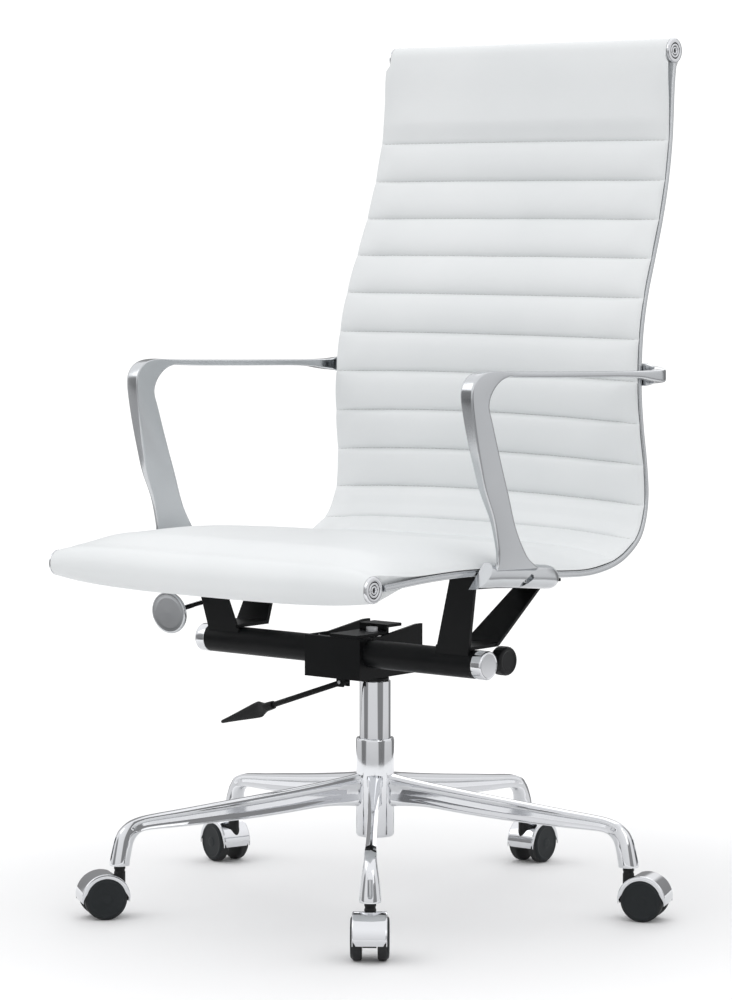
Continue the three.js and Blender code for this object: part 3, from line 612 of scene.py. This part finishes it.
def sling_skin():
    """Closed skin: sitter's side, front roll, underside, top roll, and a step at the sides for the rails."""
    columns, stops = sling_columns(), sling_rows()
    rings = []
    for s in stops:
        ring = []
        for u in columns:
            spot, across = line_at(s - bow(s, u))
            y, z = spot + across * upper_offset(s, u)
            ring.append((u * upper_edge(s, spot.y), y, z))
        rings.append(ring)
    rings += roll_rings(FRONT_ROLL, LINE_LENGTH, 1, columns)
    for s in reversed(stops):
        point, normal = line_at(s)
        ring = []
        for u in columns:
            y, z = point - normal * lower_offset(s, u)
            ring.append((u * lower_edge(s, point.y), y, z))
        rings.append(ring)
    rings += list(reversed(roll_rings(TOP_ROLL, 0, -1, columns)))
    count, rows = len(columns), len(stops)
    points = [p for ring in rings for p in ring]
    faces = []
    for r in range(len(rings)):
        n = (r + 1) % len(rings)
        for i in range(count - 1):
            faces.append((r * count + i, r * count + i + 1, n * count + i + 1, n * count + i))
    arc = len(roll_rings(TOP_ROLL, 0, -1, [0.0]))
    for i, side in ((0, -1), (count - 1, 1)):
        steps = []
        for s in stops:
            point, normal = line_at(s)
            shelf = smoothstep(10, 16.4, roll_distance(s))
            y, z = point + normal * (RAIL_THICK / 2 + 0.45) * shelf
            steps.append(len(points))
            points.append((side * lower_edge(s, point.y), y, z))
        for k in range(rows - 1):
            upper, lower = k * count + i, (2 * rows + arc - 1 - k) * count + i
            faces.append((upper, upper + count, steps[k + 1], steps[k]))
            faces.append((steps[k], steps[k + 1], lower - count, lower))
        for k in range(arc + 1):
            a, b = (rows - 1 + k) * count + i, (rows + k) * count + i
            faces.append((a, b, steps[-1]))
            a = (2 * rows + arc - 1 + k) * count + i
            b = ((2 * rows + arc + k) % len(rings)) * count + i
            faces.append((a, b, steps[0]))
    return points, faces


def roll_rings(centre, s, sign, columns):
    """Rings round a roll, from the sitter's side to the underside."""
    _, normal = line_at(s)
    start = math.atan2(normal.y, normal.x)
    rings = []
    for k in range(1, 20):
        share = k / 20
        angle = start + sign * math.pi * share
        ring = []
        for u in columns:
            radius = upper_offset(s, u) * (1 - share) + lower_offset(s, u) * share
            y, z = centre[0] + radius * math.cos(angle), centre[1] + radius * math.sin(angle)
            ring.append((u * upper_edge(s, centre[1]), y, z))
        rings.append(ring)
    return rings


def stitch_skin():
    """Thread of the seams: short stitches lying in each groove."""
    pitch, length, thick = 6.5, 4.3, 0.42
    parts = []
    for seam in SEAMS[:-1]:
        edge = upper_edge(seam, line_at(seam)[0].y)
        width = edge - 6
        count = int(2 * width / pitch)
        for i in range(count):
            x = -width + 2 * width * (i + 0.5) / count
            ends = []
            for end in (-0.5, 0.5):
                u = (x + end * length) / edge
                point, normal = line_at(seam - bow(seam, u))
                way = Vector((normal.y, -normal.x))
                base = point + normal * (upper_offset(seam, u) + 0.25)
                ring = []
                for t in range(6):
                    angle = t * math.pi / 3
                    spot = base + normal * thick * math.sin(angle) + way * thick * math.cos(angle)
                    ring.append((x + end * length, spot.x, spot.y))
                ends.append(ring)
            parts.append(loft(ends))
    return joined(*parts)


def build_sling():
    sling = piece("sling", *sling_skin(), LEATHER, sharp=80)
    settle(sling, "seat_frame", "white_leather", "sling_pad")
    thread = piece("seam_stitches", *stitch_skin(), THREAD, sharp=80)
    settle(thread, "seat_frame", "white_leather")


# ---- side rails, rolls and caps
def rail_skin():
    """Flat bar with rounded edges and a shallow groove along its outer face, behind the leather's hem."""
    half, width = RAIL_THICK / 2, RAIL_WIDTH
    ring2d = soft_ring([
        (-width, -half, 0), (0, -half, 0), (0, half - 2.6, 0), (-0.9, half - 2.0, 0),
        (-0.9, half - 1.2, 0), (-0.2, half - 0.8, 0), (-0.2, half, 0), (-width, half, 0),
    ], [1.2, 2.0, 0.4, 0.3, 0.3, 0.3, 0.4, 1.2], 4)
    stop = ROLL_RADIUS + 0.9
    steps = 170
    rings = []
    for i in range(steps + 1):
        s = stop + (LINE_LENGTH - 2 * stop) * i / steps
        point, normal = line_at(s)
        ring = []
        for p in ring2d:
            y, z = point + normal * p.y
            ring.append((half_width(z) + p.x, y, z))
        rings.append(ring)
    return loft(rings)


def cap_origin(centre):
    """Middle of an end cap's inner face, clear of the roll's end."""
    y, z = centre
    return half_width(z) - ROLL_INSET + 0.3, y, z


def cap_skin(centre):
    """Turned end cap of a roll: stepped rings round a countersunk screw hole."""
    deep = 3.3
    face = [
        (0, 0), (ROLL_RADIUS, 0), (ROLL_RADIUS, deep - 1.3), (ROLL_RADIUS - 1.4, deep - 0.2),
        (ROLL_RADIUS - 3.6, deep), (10.8, deep), (10.4, deep - 1.0), (9.4, deep - 1.0), (9.0, deep - 0.1),
        (6.6, deep - 0.1), (6.2, deep - 0.9), (5.4, deep - 0.9), (5.0, deep), (3.4, deep),
        (2.8, deep - 2.2), (0, deep - 2.2),
    ]
    return turned(rounded(face, 0.35, 2), cap_origin(centre), (1, 0, 0), 72)


def painted_cap_shade(centre):
    """Painted shade: dark rings in the cap's grooves and a dark disc in its screw hole, standing in for the shade
    in these recesses.
    """
    parts = []
    for low, high, level in ((0, 2.75, 1.6), (5.45, 6.15, 2.75), (9.5, 10.3, 2.75)):
        section = [(low, level - 0.8), (high, level - 0.8), (high, level), (low, level)]
        parts.append(turned(section, cap_origin(centre), (1, 0, 0), 48, closed=low > 0))
    return joined(*parts)


def mount_plate_skin():
    """Flat bar under the rail that the struts are welded to, with rounded ends."""
    middle, thick, gap = half_width(SEAT_LEVEL) - PLATE_HALF, 4.0, 0.6
    stations = [(-112, 0.86), (-110, 0.95), (-106, 1), (-60, 1), (-20, 1), (20, 1), (44, 1)]
    stations += [(49, 0.95), (51, 0.86)]
    rings = []
    for y, share in stations:
        low = rail_height(y) - RAIL_THICK / 2 - thick - gap
        left, right = middle - PLATE_HALF * share, middle + PLATE_HALF * share
        corners = [(left, y, low), (right, y, low), (right, y, low + thick), (left, y, low + thick)]
        rings.append(soft_ring(corners, [0.9] * 4, 3))
    return loft(rings)


def build_rails():
    both_sides("seat_plate", mount_plate_skin(), BLACK_PAINT, "black_paint", "mount_plate")
    both_sides("rail", rail_skin(), SATIN, "satin_aluminium", "side_rail")
    for name, centre in (("top", TOP_ROLL), ("front", FRONT_ROLL)):
        both_sides(f"{name}_cap", cap_skin(centre), CHROME, "chrome", f"{name}_roll_cap")
        # painted shade: dark rings and discs in the caps' grooves and screw holes
        both_sides(f"{name}_cap_grooves", painted_cap_shade(centre), PAINTED_RECESS_SHADE, "black_plastic")


# ---- arms
ARM_IN, ARM_OUT = 268.4, 287.6
HOOK_HEIGHT = 688.5
# front (or upper) edge and rear (or lower) edge as (y, z), and how far the inner face is cut back in front
ARM_ROWS = [
    [-113, 463, -27, 459, 14], [-110, 474, -47, 472, 13.5], [-111, 490, -60, 488, 13],
    [-120, 524, -75, 514, 11.5], [-136.5, 559, -89.5, 555, 8.5], [-146, 590, -100.5, 584, 6],
    [-154, 620, -111, 613, 3.5], [-160.5, 650, -121, 642, 1.5],
    [-164.2, 676, -128, 662, 0], [-161.5, 690, -124.5, 676, 0],
    [-151.5, 700.6, -115, 687, 0], [-136, 705.8, -103, 694.5, 0], [-116, 706.9, -91, 697.6, 0],
    [-95, 705.6, -82, 697.8, 0], [-60, 704.2, -58, 696.2, 0], [-10, 702.4, -10, 694.4, 0],
    [45, 700.6, 45, 692.6, 0], [100, 698.9, 100, 690.9, 0], [150, 697.4, 150, 689.3, 0],
    [190, 696.3, 190, 687.0, 0], [215, 696.0, 215, 683.3, 0], [232, 696.1, 232, 681, 0],
]


def arm_ring(fy, fz, ry, rz, cut):
    back_round = 3.2 if fy > -100 else 5.0
    corners = [(ARM_OUT, fy, fz), (ARM_IN + cut, fy, fz), (ARM_IN, ry, rz), (ARM_OUT, ry, rz)]
    return soft_ring(corners, [3.6, 2.2, back_round, back_round], 6)


def arm_hook_rings():
    """The bar's end turns inwards behind the rail and grows taller."""
    low, high = (from_frame(p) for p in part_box("arm_right"))
    back, inner_end = high.y, low.x
    thick, width, bend = 13.0, ARM_OUT - ARM_IN, 21.0
    centre = Vector((ARM_OUT - bend, back - bend))
    rings = []
    for k in range(1, 9):
        angle = k / 8 * 90 * DEGREE
        share = k / 8
        way = Vector((math.cos(angle), math.sin(angle)))
        outer = centre + way * bend
        inner = outer - way * (width + (thick - width) * share)
        half = 7.7 + 3.3 * share
        rings.append(hook_ring(outer, inner, half))
    for k in range(1, 7):
        share = k / 6
        x = centre.x + (inner_end - centre.x) * share
        half = 11 + 4 * smoothstep(0, 1, share)
        rings.append(hook_ring(Vector((x, back)), Vector((x, back - thick)), half))
    return rings


def hook_ring(outer, inner, half):
    low, high = HOOK_HEIGHT - half, HOOK_HEIGHT + half
    corners = [(*outer, high), (*inner, high), (*inner, low), (*outer, low)]
    return soft_ring(corners, [4.5, 2.4, 2.4, 4.5], 6)


def foot_skin():
    """Half-round clamp on the rail's outer side: cut slantwise in front, rounded behind."""
    radius, flat = 15.2, ARM_OUT - 15
    inside = half_width(SEAT_LEVEL + 5) + 1.5
    stations = [(-129, 1, 15), (-126, 1, 14), (-100, 1, 4), (-60, 1, 0), (-10, 1, 0), (4, 1, 0), (9, 0.97, 0)]
    stations += [(13, 0.9, 0), (16, 0.78, 0), (18, 0.6, 0), (18.8, 0.35, 0)]
    rings = []
    for y, shrink, slant in stations:
        middle = rail_height(y) - 3
        r = radius * shrink
        ring = [(inside, y - slant, middle - r)]
        for i in range(25):
            angle = (-90 + 7.5 * i) * DEGREE
            rise = math.sin(angle)
            ring.append((flat + r * math.cos(angle), y + slant * rise, middle + r * rise))
        ring.append((inside, y + slant, middle + r))
        rings.append(ring)
    return loft(rings)


SLOT_PLACE = (-51.0, rail_height(-51.0) - 8.0)
SLOT_TILT = math.atan(0.53)


def slot_prism(place, half, radius, lean, x0, x1, steps=12):
    """A round-ended slot about a (y, z) place, leaning by an angle, as a cutter from x0 to x1."""
    ring = []
    for end, start in ((1, -math.pi / 2), (-1, math.pi / 2)):
        y, z = place[0] + end * half * math.cos(lean), place[1] + end * half * math.sin(lean)
        for k in range(steps + 1):
            angle = start + math.pi * k / steps + lean
            ring.append((y + radius * math.cos(angle), z + radius * math.sin(angle)))
    return loft([[(x, y, z) for y, z in ring] for x in (x0, x1)])


def screw_skin(origin, axis, radius, height):
    """Countersunk screw head with a round socket."""
    head = [(0, 0), (radius, 0), (radius, height - 0.6), (radius - 0.6, height)]
    head += [(radius * 0.52, height), (radius * 0.5, height - 1.6), (0, height - 1.6)]
    return turned(rounded(head, 0.3, 2), origin, axis, 36)


def build_arms():
    rows = smooth_rows(ARM_ROWS, 5)
    body = loft([arm_ring(*row) for row in rows] + arm_hook_rings())
    slot = slot_prism(SLOT_PLACE, 8.0, 3.8, SLOT_TILT, ARM_OUT - 8, ARM_OUT + 8)
    screw = screw_skin((ARM_OUT - 7.8, *SLOT_PLACE), (1, 0, 0), 3.3, 3.2)
    back = from_frame(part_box("arm_right")[1]).y
    rear_screw = screw_skin((257, back - 0.4, HOOK_HEIGHT), (0, 1, 0), 5.0, 2.2)
    both_sides("arm_loop", body, SATIN, "satin_aluminium", "arm", sharp=40)
    both_sides("arm_foot", foot_skin(), SATIN, "satin_aluminium", sharp=50, cut=slot)
    both_sides("foot_screw", screw, STEEL, "steel", "arm_screw")
    both_sides("arm_rear_screw", rear_screw, STEEL, "steel")


# ---- five-leg base
# top edge and bottom edge as (radius, height), half width of the bar, half width of the web
LEG_ROWS = [
    [20, 172, 20, 127, 11.5, 10], [26, 170, 26, 127.8, 9.6, 8], [40, 166.8, 41, 128.9, 8.3, 5.6],
    [70, 161.7, 71, 128.9, 7.6, 4.4], [119, 154.3, 119, 123.4, 7.2, 3.9], [170, 147.2, 169, 118.4, 6.9, 3.7],
    [220, 140.6, 218, 114.9, 6.7, 3.6], [262, 134.9, 260, 112.5, 6.7, 3.8],
    [290, 131.4, 290, 111.2, 6.8, 4.2], [312, 127.9, 306, 110.2, 7.2, 5.2],
    [329.5, 121.6, 315, 107.6, 8.0, 6.8], [341, 112.5, 321, 101.6, 9.2, 8.6],
    [346.5, 103, 324.3, 95, 10.4, 10], [349.6, 92.5, 326, 89, 11.7, 11.4], [352.5, 80, 328, 78.5, 13, 12.8],
    [354.6, 70, 329.4, 70, 13.8, 13.6], [354.9, 66.7, 329.6, 66.7, 13.4, 13.2],
]


def leg_ring(ty, tz, by, bz, bar_half, web_half):
    """Section of a leg: a round bar on top, a narrow waist, and a rounded foot below."""
    top, low = Vector((ty, tz)), Vector((by, bz))
    shape = [
        (0, 0), (0.012, 0.45), (0.05, 0.8), (0.13, 1.0), (0.24, 1.0), (0.34, 0.84), (0.42, 0.0), (0.6, 0.0),
        (0.76, 0.0), (0.86, 0.5), (0.93, 0.62), (0.975, 0.5), (1, 0.25),
    ]
    ring = []
    for sign in (1, -1):
        row = shape if sign > 0 else list(reversed(shape[1:]))
        for t, blend in row:
            spot = top.lerp(low, t)
            full = bar_half * math.sqrt(max(1 - (2 * t - 1) ** 2, 0)) ** 0.75
            wide = web_half + (bar_half - web_half) * blend if t > 0.012 else bar_half * blend
            if t > 0.8:
                wide = web_half + (bar_half - web_half) * blend * 0.7
                wide *= 1 - smoothstep(0.9, 1.02, t) * 0.6
            round_share = smoothstep(0.8, 0.97, web_half / bar_half) * smoothstep(0.0, 60.0, ty - 280)
            wide += (full - wide) * round_share
            ring.append((spot.x, sign * wide, spot.y))
    return ring


def build_base():
    leg = loft([leg_ring(*row) for row in smooth_rows(LEG_ROWS, 4)])
    legs = [moved(leg, Matrix.Rotation(turn, 3, "Z")) for turn in LEG_TURNS]
    hub = turned(rounded([
        (16.3, 88), (23.6, 88), (25, 91), (25, 214), (24.2, 217), (20.7, 217), (20.7, 92), (16.3, 92),
    ], 0.8, 2), (0, 0, 0), (0, 0, 1), 96, closed=True)
    made = piece("base_casting", *joined(hub, *legs), CHROME, sharp=50)
    slot = slot_prism((0, 88), 13, 3.0, math.pi / 2, LEG_REACH + 3, LEG_REACH + 30, 8)
    carve(made, *(moved(slot, Matrix.Rotation(turn, 3, "Z")) for turn in LEG_TURNS))
    settle(made, "base", "chrome", "star_base")


# ---- casters
HOOD_STEPS = 40


def arch_corners(share, inner, outer, y0, y1):
    """Corners of a section across the arch over the wheels, at a share of its sweep."""
    angle = (-9 + 198 * share) * DEGREE
    way = Vector((math.cos(angle), 0, math.sin(angle)))
    middle = Vector((TRAIL, 0, WHEEL_RADIUS))
    corners = ((inner, y0), (outer, y0), (outer, y1), (inner, y1))
    return [middle + way * reach + Vector((0, y, 0)) for reach, y in corners]


def hood_skin():
    """Arched cover over both wheels, with rounded rims and tapered tips."""
    inner, wall, half = 29.3, 2.4, 21.0
    rings = []
    for i in range(HOOD_STEPS + 1):
        share = i / HOOD_STEPS
        tip = min(share, 1 - share)
        width = half * (0.8 + 0.2 * smoothstep(0, 0.07, tip))
        thick = wall * (0.55 + 0.45 * smoothstep(0, 0.05, tip))
        corners = arch_corners(share, inner, inner + thick, -width, width)
        rings.append(soft_ring(corners, [0.5, 2.2, 2.2, 0.5], 5))
    return loft(rings)


def hood_cheek(side):
    """Side lip of the hood: a thin crescent that reaches down over each wheel's shoulder."""
    inner_top, outer = 25.6, 31.0
    y0, y1 = side * 20.2, side * 21.3
    rings = []
    for i in range(HOOD_STEPS + 1):
        share = i / HOOD_STEPS
        tip = smoothstep(0, 0.16, min(share, 1 - share))
        inner = outer - (outer - inner_top) * (0.15 + 0.85 * tip)
        rings.append(soft_ring(arch_corners(share, inner, outer, y0, y1), [0.25] * 4, 2))
    return loft(rings)


def neck_skins():
    """Black block between the wheels, its collar and the axle."""
    radius = 28.9
    outline = []
    for k in range(25):
        angle = (-14 + 208 * k / 24) * DEGREE
        outline.append((TRAIL + radius * math.cos(angle), WHEEL_RADIUS + radius * math.sin(angle)))
    block = loft([[(x, y, z) for x, z in outline] for y in (-8.5, 8.5)])
    collar = turned(rounded([
        (0, 38), (7.3, 38), (7.3, 58), (6.6, 59), (6.6, 61), (7.3, 62), (7.3, 66.2), (0, 66.2),
    ], 0.4, 2), (0, 0, 0), (0, 0, 1), 40)
    stem = rod((0, 0, 60), (0, 0, 94.4), 5.5, 28)
    axle = rod((TRAIL, -20.4, WHEEL_RADIUS), (TRAIL, 20.4, WHEEL_RADIUS), 3, 24)
    return block, collar, stem, axle


def wheel_skins(side):
    """Tread ring and outer disc of one wheel."""
    r = WHEEL_RADIUS
    disc = turned(rounded([
        (0, 21.0), (r - 2.2, 21.0), (r - 2.2, 22.2), (r - 4.2, 23.5), (r - 6, 23.7), (r - 7, 23.1),
        (7, 23.0), (6, 23.5), (0, 23.6),
    ], 0.5, 2), (TRAIL, 0, r), (0, side, 0), 72)
    tread = turned(rounded([
        (3.4, 9.6), (r - 2, 9.6), (r, 11.4), (r, 19.6), (r - 1.4, 21.3), (r - 2.2, 21.5), (r - 2.4, 20.8),
        (3.4, 20.8),
    ], 0.8, 3), (TRAIL, 0, r), (0, side, 0), 72, closed=True)
    return disc, tread


def build_casters():
    for number, turn in enumerate(LEG_TURNS, start=1):
        spot = Vector((LEG_REACH * math.cos(turn), LEG_REACH * math.sin(turn), 0))
        place = Matrix.Translation(spot) @ Matrix.Rotation(turn, 4, "Z")
        body = f"caster_{number}"
        hood = piece(f"hood_{number}", *moved(hood_skin(), place), CHROME, sharp=50)
        hole = moved(rod((0, 0, 25), (0, 0, 80), 7.7, 32), place)
        carve(hood, hole)
        settle(hood, body, "chrome", f"caster_hood_{number}")
        for letter, side in (("a", 1), ("b", -1)):
            cheek = piece(f"hood_cheek_{number}_{letter}", *moved(hood_cheek(side), place), CHROME)
            settle(cheek, body, "chrome")
        block, collar, stem, axle = neck_skins()
        neck = piece(f"caster_block_{number}", *moved(joined(block, collar), place), BLACK_PLASTIC)
        settle(soften(neck, 0.8), body, "black_plastic", f"caster_neck_{number}")
        pin = piece(f"caster_pin_{number}", *moved(joined(stem, axle), place), STEEL)
        settle(pin, body, "steel")
        for letter, side in (("a", 1), ("b", -1)):
            disc, tread = wheel_skins(side)
            made = piece(f"wheel_disc_{number}_{letter}", *moved(disc, place), WHEEL_PLASTIC)
            settle(made, f"wheel_{number}_{letter}", "wheel_plastic", f"wheel_{number}_{letter}")
            made = piece(f"wheel_tread_{number}_{letter}", *moved(tread, place), TREAD_RUBBER)
            settle(made, f"wheel_{number}_{letter}", "wheel_plastic")


# ---- column
def build_column():
    tube = turned(rounded([
        (5.3, 92), (20.3, 92), (20.3, 291.7), (15.2, 291.7), (15.2, 96), (5.3, 96),
    ], 0.8, 3), (0, 0, 0), (0, 0, 1), 96, closed=True)
    settle(piece("column_tube", *tube, CHROME), "base", "chrome", "stand_tube")
    bush = turned(rounded([
        (14.6, 292), (17.2, 292), (18, 293), (18, 295.6), (17.2, 296.7), (14.6, 296.7),
    ], 0.4, 2), (0, 0, 0), (0, 0, 1), 80, closed=True)
    settle(piece("column_bush", *bush, BLACK_PLASTIC), "base", "black_plastic", "column_ring")
    cylinder = turned(rounded([
        (0, 112), (14.25, 112), (14.25, 318), (12.6, 345), (4, 345), (4, 352), (0, 352),
    ], 0.8, 2), (0, 0, 0), (0, 0, 1), 80)
    settle(piece("gas_spring", *cylinder, CHROME), "mechanism", "chrome", "gas_cylinder")


# ---- mechanism
def build_lever():
    """Bent rod from its eye to a moulded blade handle."""
    box_low = from_frame(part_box("height_lever")[0])
    pivot = from_frame(JOINTS["lever"]["pos_m"])
    end = Vector((box_low.x + 1.2, pivot.y, box_low.z + 3.6))
    start = pivot + Vector((-2, 0, -0.7))
    way = (end - start).normalized()
    shaft = rod(start, end, 3.75, 32)
    eye_ring = rounded([(2.7, -4), (5.5, -4), (5.5, 4), (2.7, 4)], 0.5, 2)
    eye = turned(eye_ring, pivot, (0, 1, 0), 40, closed=True)
    made = piece("lever_rod", *joined(shaft, eye), BLACK_PAINT)
    settle(made, "height_lever_arm", "black_paint", "height_lever")
    across = Vector((way.z, 0, -way.x)).normalized()
    depth, squareness = Vector((0, 1, 0)), 0.72
    rows = smooth_rows([
        [-9, 5.4, 5.2], [-2, 5.9, 5.6], [5, 6.1, 5.4], [10, 8.2, 4.2], [15, 10.6, 3.3], [22, 10.4, 2.9],
        [40, 8.1, 2.6], [60, 5.4, 2.3], [78, 3.2, 2.0], [86, 2.3, 1.7], [88, 1.2, 1.0],
    ], 4)
    rings = []
    for along, high, deep in rows:
        middle = end + way * along
        ring = []
        for k in range(32):
            turn = k / 32 * math.tau
            c, s = (math.copysign(abs(part) ** squareness, part) for part in (math.cos(turn), math.sin(turn)))
            ring.append(middle + across * high * c + depth * deep * s)
        rings.append(ring)
    made = piece("lever_handle", *loft(rings), BLACK_PLASTIC)
    settle(made, "height_lever_arm", "black_plastic", "lever_paddle")


def build_knobs():
    low, high = (from_frame(p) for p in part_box("tension_knob"))
    middle = (low + high) / 2
    radius = (high.z - low.z) / 2
    thick = high.x - low.x
    profile = rounded([
        (0, thick - 1.4), (radius - 6, thick - 1.4), (radius - 5, thick - 0.2), (radius - 2.2, thick),
        (radius, thick - 2.6), (radius, 4), (radius - 3, 0.5), (8, 0), (0, 0),
    ], 0.9, 3)
    points, faces = turned(profile, (low.x, middle.y, middle.z), (1, 0, 0), 96)
    ribbed = []
    for p in points:
        away = Vector((p[1] - middle.y, p[2] - middle.z))
        turn = math.atan2(away.y, away.x)
        groove = 0.35 * (0.5 + 0.5 * math.cos(turn * 24)) if away.length > radius - 1.2 else 0.0
        away = away * (1 - groove / max(away.length, 1))
        ribbed.append((p[0], middle.y + away.x, middle.z + away.y))
    made = piece("tension_handwheel", ribbed, faces, BLACK_PLASTIC)
    settle(made, "tension_adjuster", "black_plastic", "tension_knob")

    joint = JOINTS["tilt_knob_turn"]
    face = from_frame(joint["pos_m"])
    axis = Vector(joint["axis"]).normalized()
    disc = turned(rounded([
        (0, 0.5), (20, 0.3), (25.1, 0), (26.9, 0.5), (27.5, 1.8), (27.5, 4.2), (26.5, 5.4), (22, 7.2),
        (10, 10.2), (7.4, 13), (7, 17), (0, 17),
    ], 0.7, 3), face, axis, 96)
    settle(piece("tilt_disc", *disc, SATIN), "tilt_adjuster", "satin_aluminium", "tilt_knob")
    stem = rod(face + axis * 15, face + axis * 70.5, 3.4, 32)
    settle(piece("tilt_stem", *stem, CHROME), "tilt_adjuster", "chrome", "tilt_rod")


def build_cross_tube():
    y, z = TUBE_CENTRE.y, TUBE_CENTRE.z
    half = CROSS_TUBE_HALF
    section = [(15.5, -half), (18, -half), (18, half), (15.5, half)]
    tube = turned(section, (0, y, z), (1, 0, 0), 80, closed=True)
    settle(piece("cross_tube", *tube, BLACK_PAINT), "seat_frame", "black_paint", "torsion_tube")
    cap = turned(rounded([
        (0, half + 0.3), (18.25, half + 0.3), (18.25, half + 14.2), (16.8, half + 15.9), (16.0, half + 16.0),
        (15.2, half + 15.4), (0, half + 15.4),
    ], 0.7, 3), (0, y, z), (1, 0, 0), 80)
    both_sides("cross_tube_cap", cap, CHROME, "chrome", "tube_cap")


def dress_cad_nodes():
    """The bent and welded steel parts keep their CAD shape, with eased edges and their own finish."""
    eased = {
        "tilt_housing": 1.4, "top_bracket": 1.0, "bracket_bolt": 0.5, "support_bracket_left": 0.9,
        "support_bracket_right": 0.9, "back_stretcher": 2.4,
    }
    slots = {row["node"]: row["material_slot"] for row in frame["record"]["subparts"]}
    for name, node in frame["nodes"].items():
        node.data.materials.clear()
        node.data.materials.append(SLOT_MATERIAL[slots[name]])
        if name in eased:
            node.data.set_sharp_from_angle(angle=32 * DEGREE)
            soften(node, eased[name], 3, 32)


# ---- camera, floor and light
def floor_material():
    """Pale matt floor with painted light: it emits more and more light away from the chair, brightening into the
    white background.
    """
    made = material("pale_floor", (0.86, 0.86, 0.86), 0.7, Specular_IOR_Level=0.2)
    tree = made.node_tree
    shader = tree.nodes["Principled BSDF"]
    place = object_place(tree)
    away = add_node(tree, "ShaderNodeVectorMath", {"operation": "LENGTH"})
    tree.links.new(place, away.inputs[0])
    # painted light: emission that rises with distance from the chair
    painted_glow = add_node(
        tree, "ShaderNodeMapRange", {"interpolation_type": "SMOOTHSTEP"},
        Value=away.outputs["Value"], From_Min=0.4, From_Max=1.2, To_Min=0.0, To_Max=0.2,
    )
    shader.inputs["Emission Color"].default_value = (1, 1, 1, 1)
    tree.links.new(painted_glow.outputs["Result"], shader.inputs["Emission Strength"])
    return made


def build_stage():
    camera_data = bpy.data.cameras.new("camera")
    camera = placed("camera", camera_data)
    camera.location = at(*CAMERA_PLACE)
    aim(camera, CAMERA_WAY)
    camera_data.sensor_width = 36.0
    camera_data.lens = CAMERA_LENS
    camera_data.clip_end = 100
    bpy.context.scene.camera = camera

    floor_mesh = bpy.data.meshes.new("floor")
    sides = 96
    turns = [math.tau * i / sides for i in range(sides)]
    rim = [(FLOOR_REACH * math.cos(turn), FLOOR_REACH * math.sin(turn), 0) for turn in turns]
    floor_mesh.from_pydata(rim, [], [tuple(range(sides))])
    floor_mesh.materials.append(floor_material())
    floor = placed("floor", floor_mesh)

    build_world()
    lamps = [
        ("key", (-1.9, -2.5, 3.2), 17.0, 2.4, (0, 0, 0.6)),
        ("fill", (3.4, -1.4, 1.9), 8.0, 1.6, (0, 0, 0.6)),
        ("back", (-1.4, 2.8, 2.4), 10.0, 2.0, (0, 0, 0.7)),
    ]
    for name, spot, power, size, target in lamps:
        data = bpy.data.lights.new(name, "AREA")
        data.energy = power
        data.shape = "RECTANGLE"
        data.size = size
        data.size_y = size
        lamp = placed(name, data)
        lamp.location = spot
        aim(lamp, Vector(target) - Vector(spot))


def build_world():
    """A white studio: bright overhead, darker below, with dark flags for the chrome to reflect."""
    world = bpy.data.worlds.new("studio")
    bpy.context.scene.world = world
    world.use_nodes = True
    tree = world.node_tree
    background = tree.nodes["Background"]
    way = add_node(tree, "ShaderNodeTexCoord").outputs["Generated"]
    split = add_node(tree, "ShaderNodeSeparateXYZ", Vector=way)
    height = add_node(tree, "ShaderNodeMapRange", Value=split.outputs["Z"], From_Min=-1.0, From_Max=1.0)
    below, overhead = (0.32, 0.32, 0.33), (1.08, 1.08, 1.09)
    ramp = two_tone(tree, height.outputs["Result"], (0.0, below), (1.0, overhead))
    for position, level in ((0.4, 0.5), (0.46, 0.8), (0.55, 0.86), (0.66, 0.95), (0.85, 1.1)):
        stop = ramp.color_ramp.elements.new(position)
        stop.color = (level, level, level * 1.01, 1)
    level = ramp.outputs["Color"]
    flags = [
        ((0.97, -0.2, 0.1), 0.93), ((-0.55, -0.83, 0.05), 0.95),
        ((-0.8, 0.6, 0.1), 0.92), ((0.05, 0.99, 0.1), 0.93),
    ]
    for toward, edge in flags:
        facing = add_node(tree, "ShaderNodeVectorMath", {"operation": "DOT_PRODUCT"})
        tree.links.new(way, facing.inputs[0])
        facing.inputs[1].default_value = Vector(toward).normalized()
        shade = add_node(
            tree, "ShaderNodeMapRange", {"interpolation_type": "SMOOTHSTEP"},
            Value=facing.outputs["Value"], From_Min=edge - 0.03, From_Max=edge + 0.02,
            To_Min=1.0, To_Max=0.32,
        )
        dim = add_node(tree, "ShaderNodeVectorMath", {"operation": "SCALE"})
        tree.links.new(level, dim.inputs[0])
        tree.links.new(shade.outputs["Result"], dim.inputs["Scale"])
        level = dim.outputs["Vector"]
    seen = add_node(tree, "ShaderNodeLightPath").outputs["Is Camera Ray"]
    white = add_node(tree, "ShaderNodeMix", {"data_type": "VECTOR"})
    tree.links.new(seen, white.inputs["Factor"])
    tree.links.new(level, white.inputs[4])
    white.inputs[5].default_value = (1.02, 1.02, 1.02)
    tree.links.new(white.outputs[1], background.inputs["Color"])
    background.inputs["Strength"].default_value = 1.1
    view = bpy.context.scene.view_settings
    view.view_transform = "Standard"
    view.look = "None"


build_stage()
dress_cad_nodes()
build_base()
build_casters()
build_column()
build_lever()
build_knobs()
build_cross_tube()
build_rails()
build_arms()
build_sling()
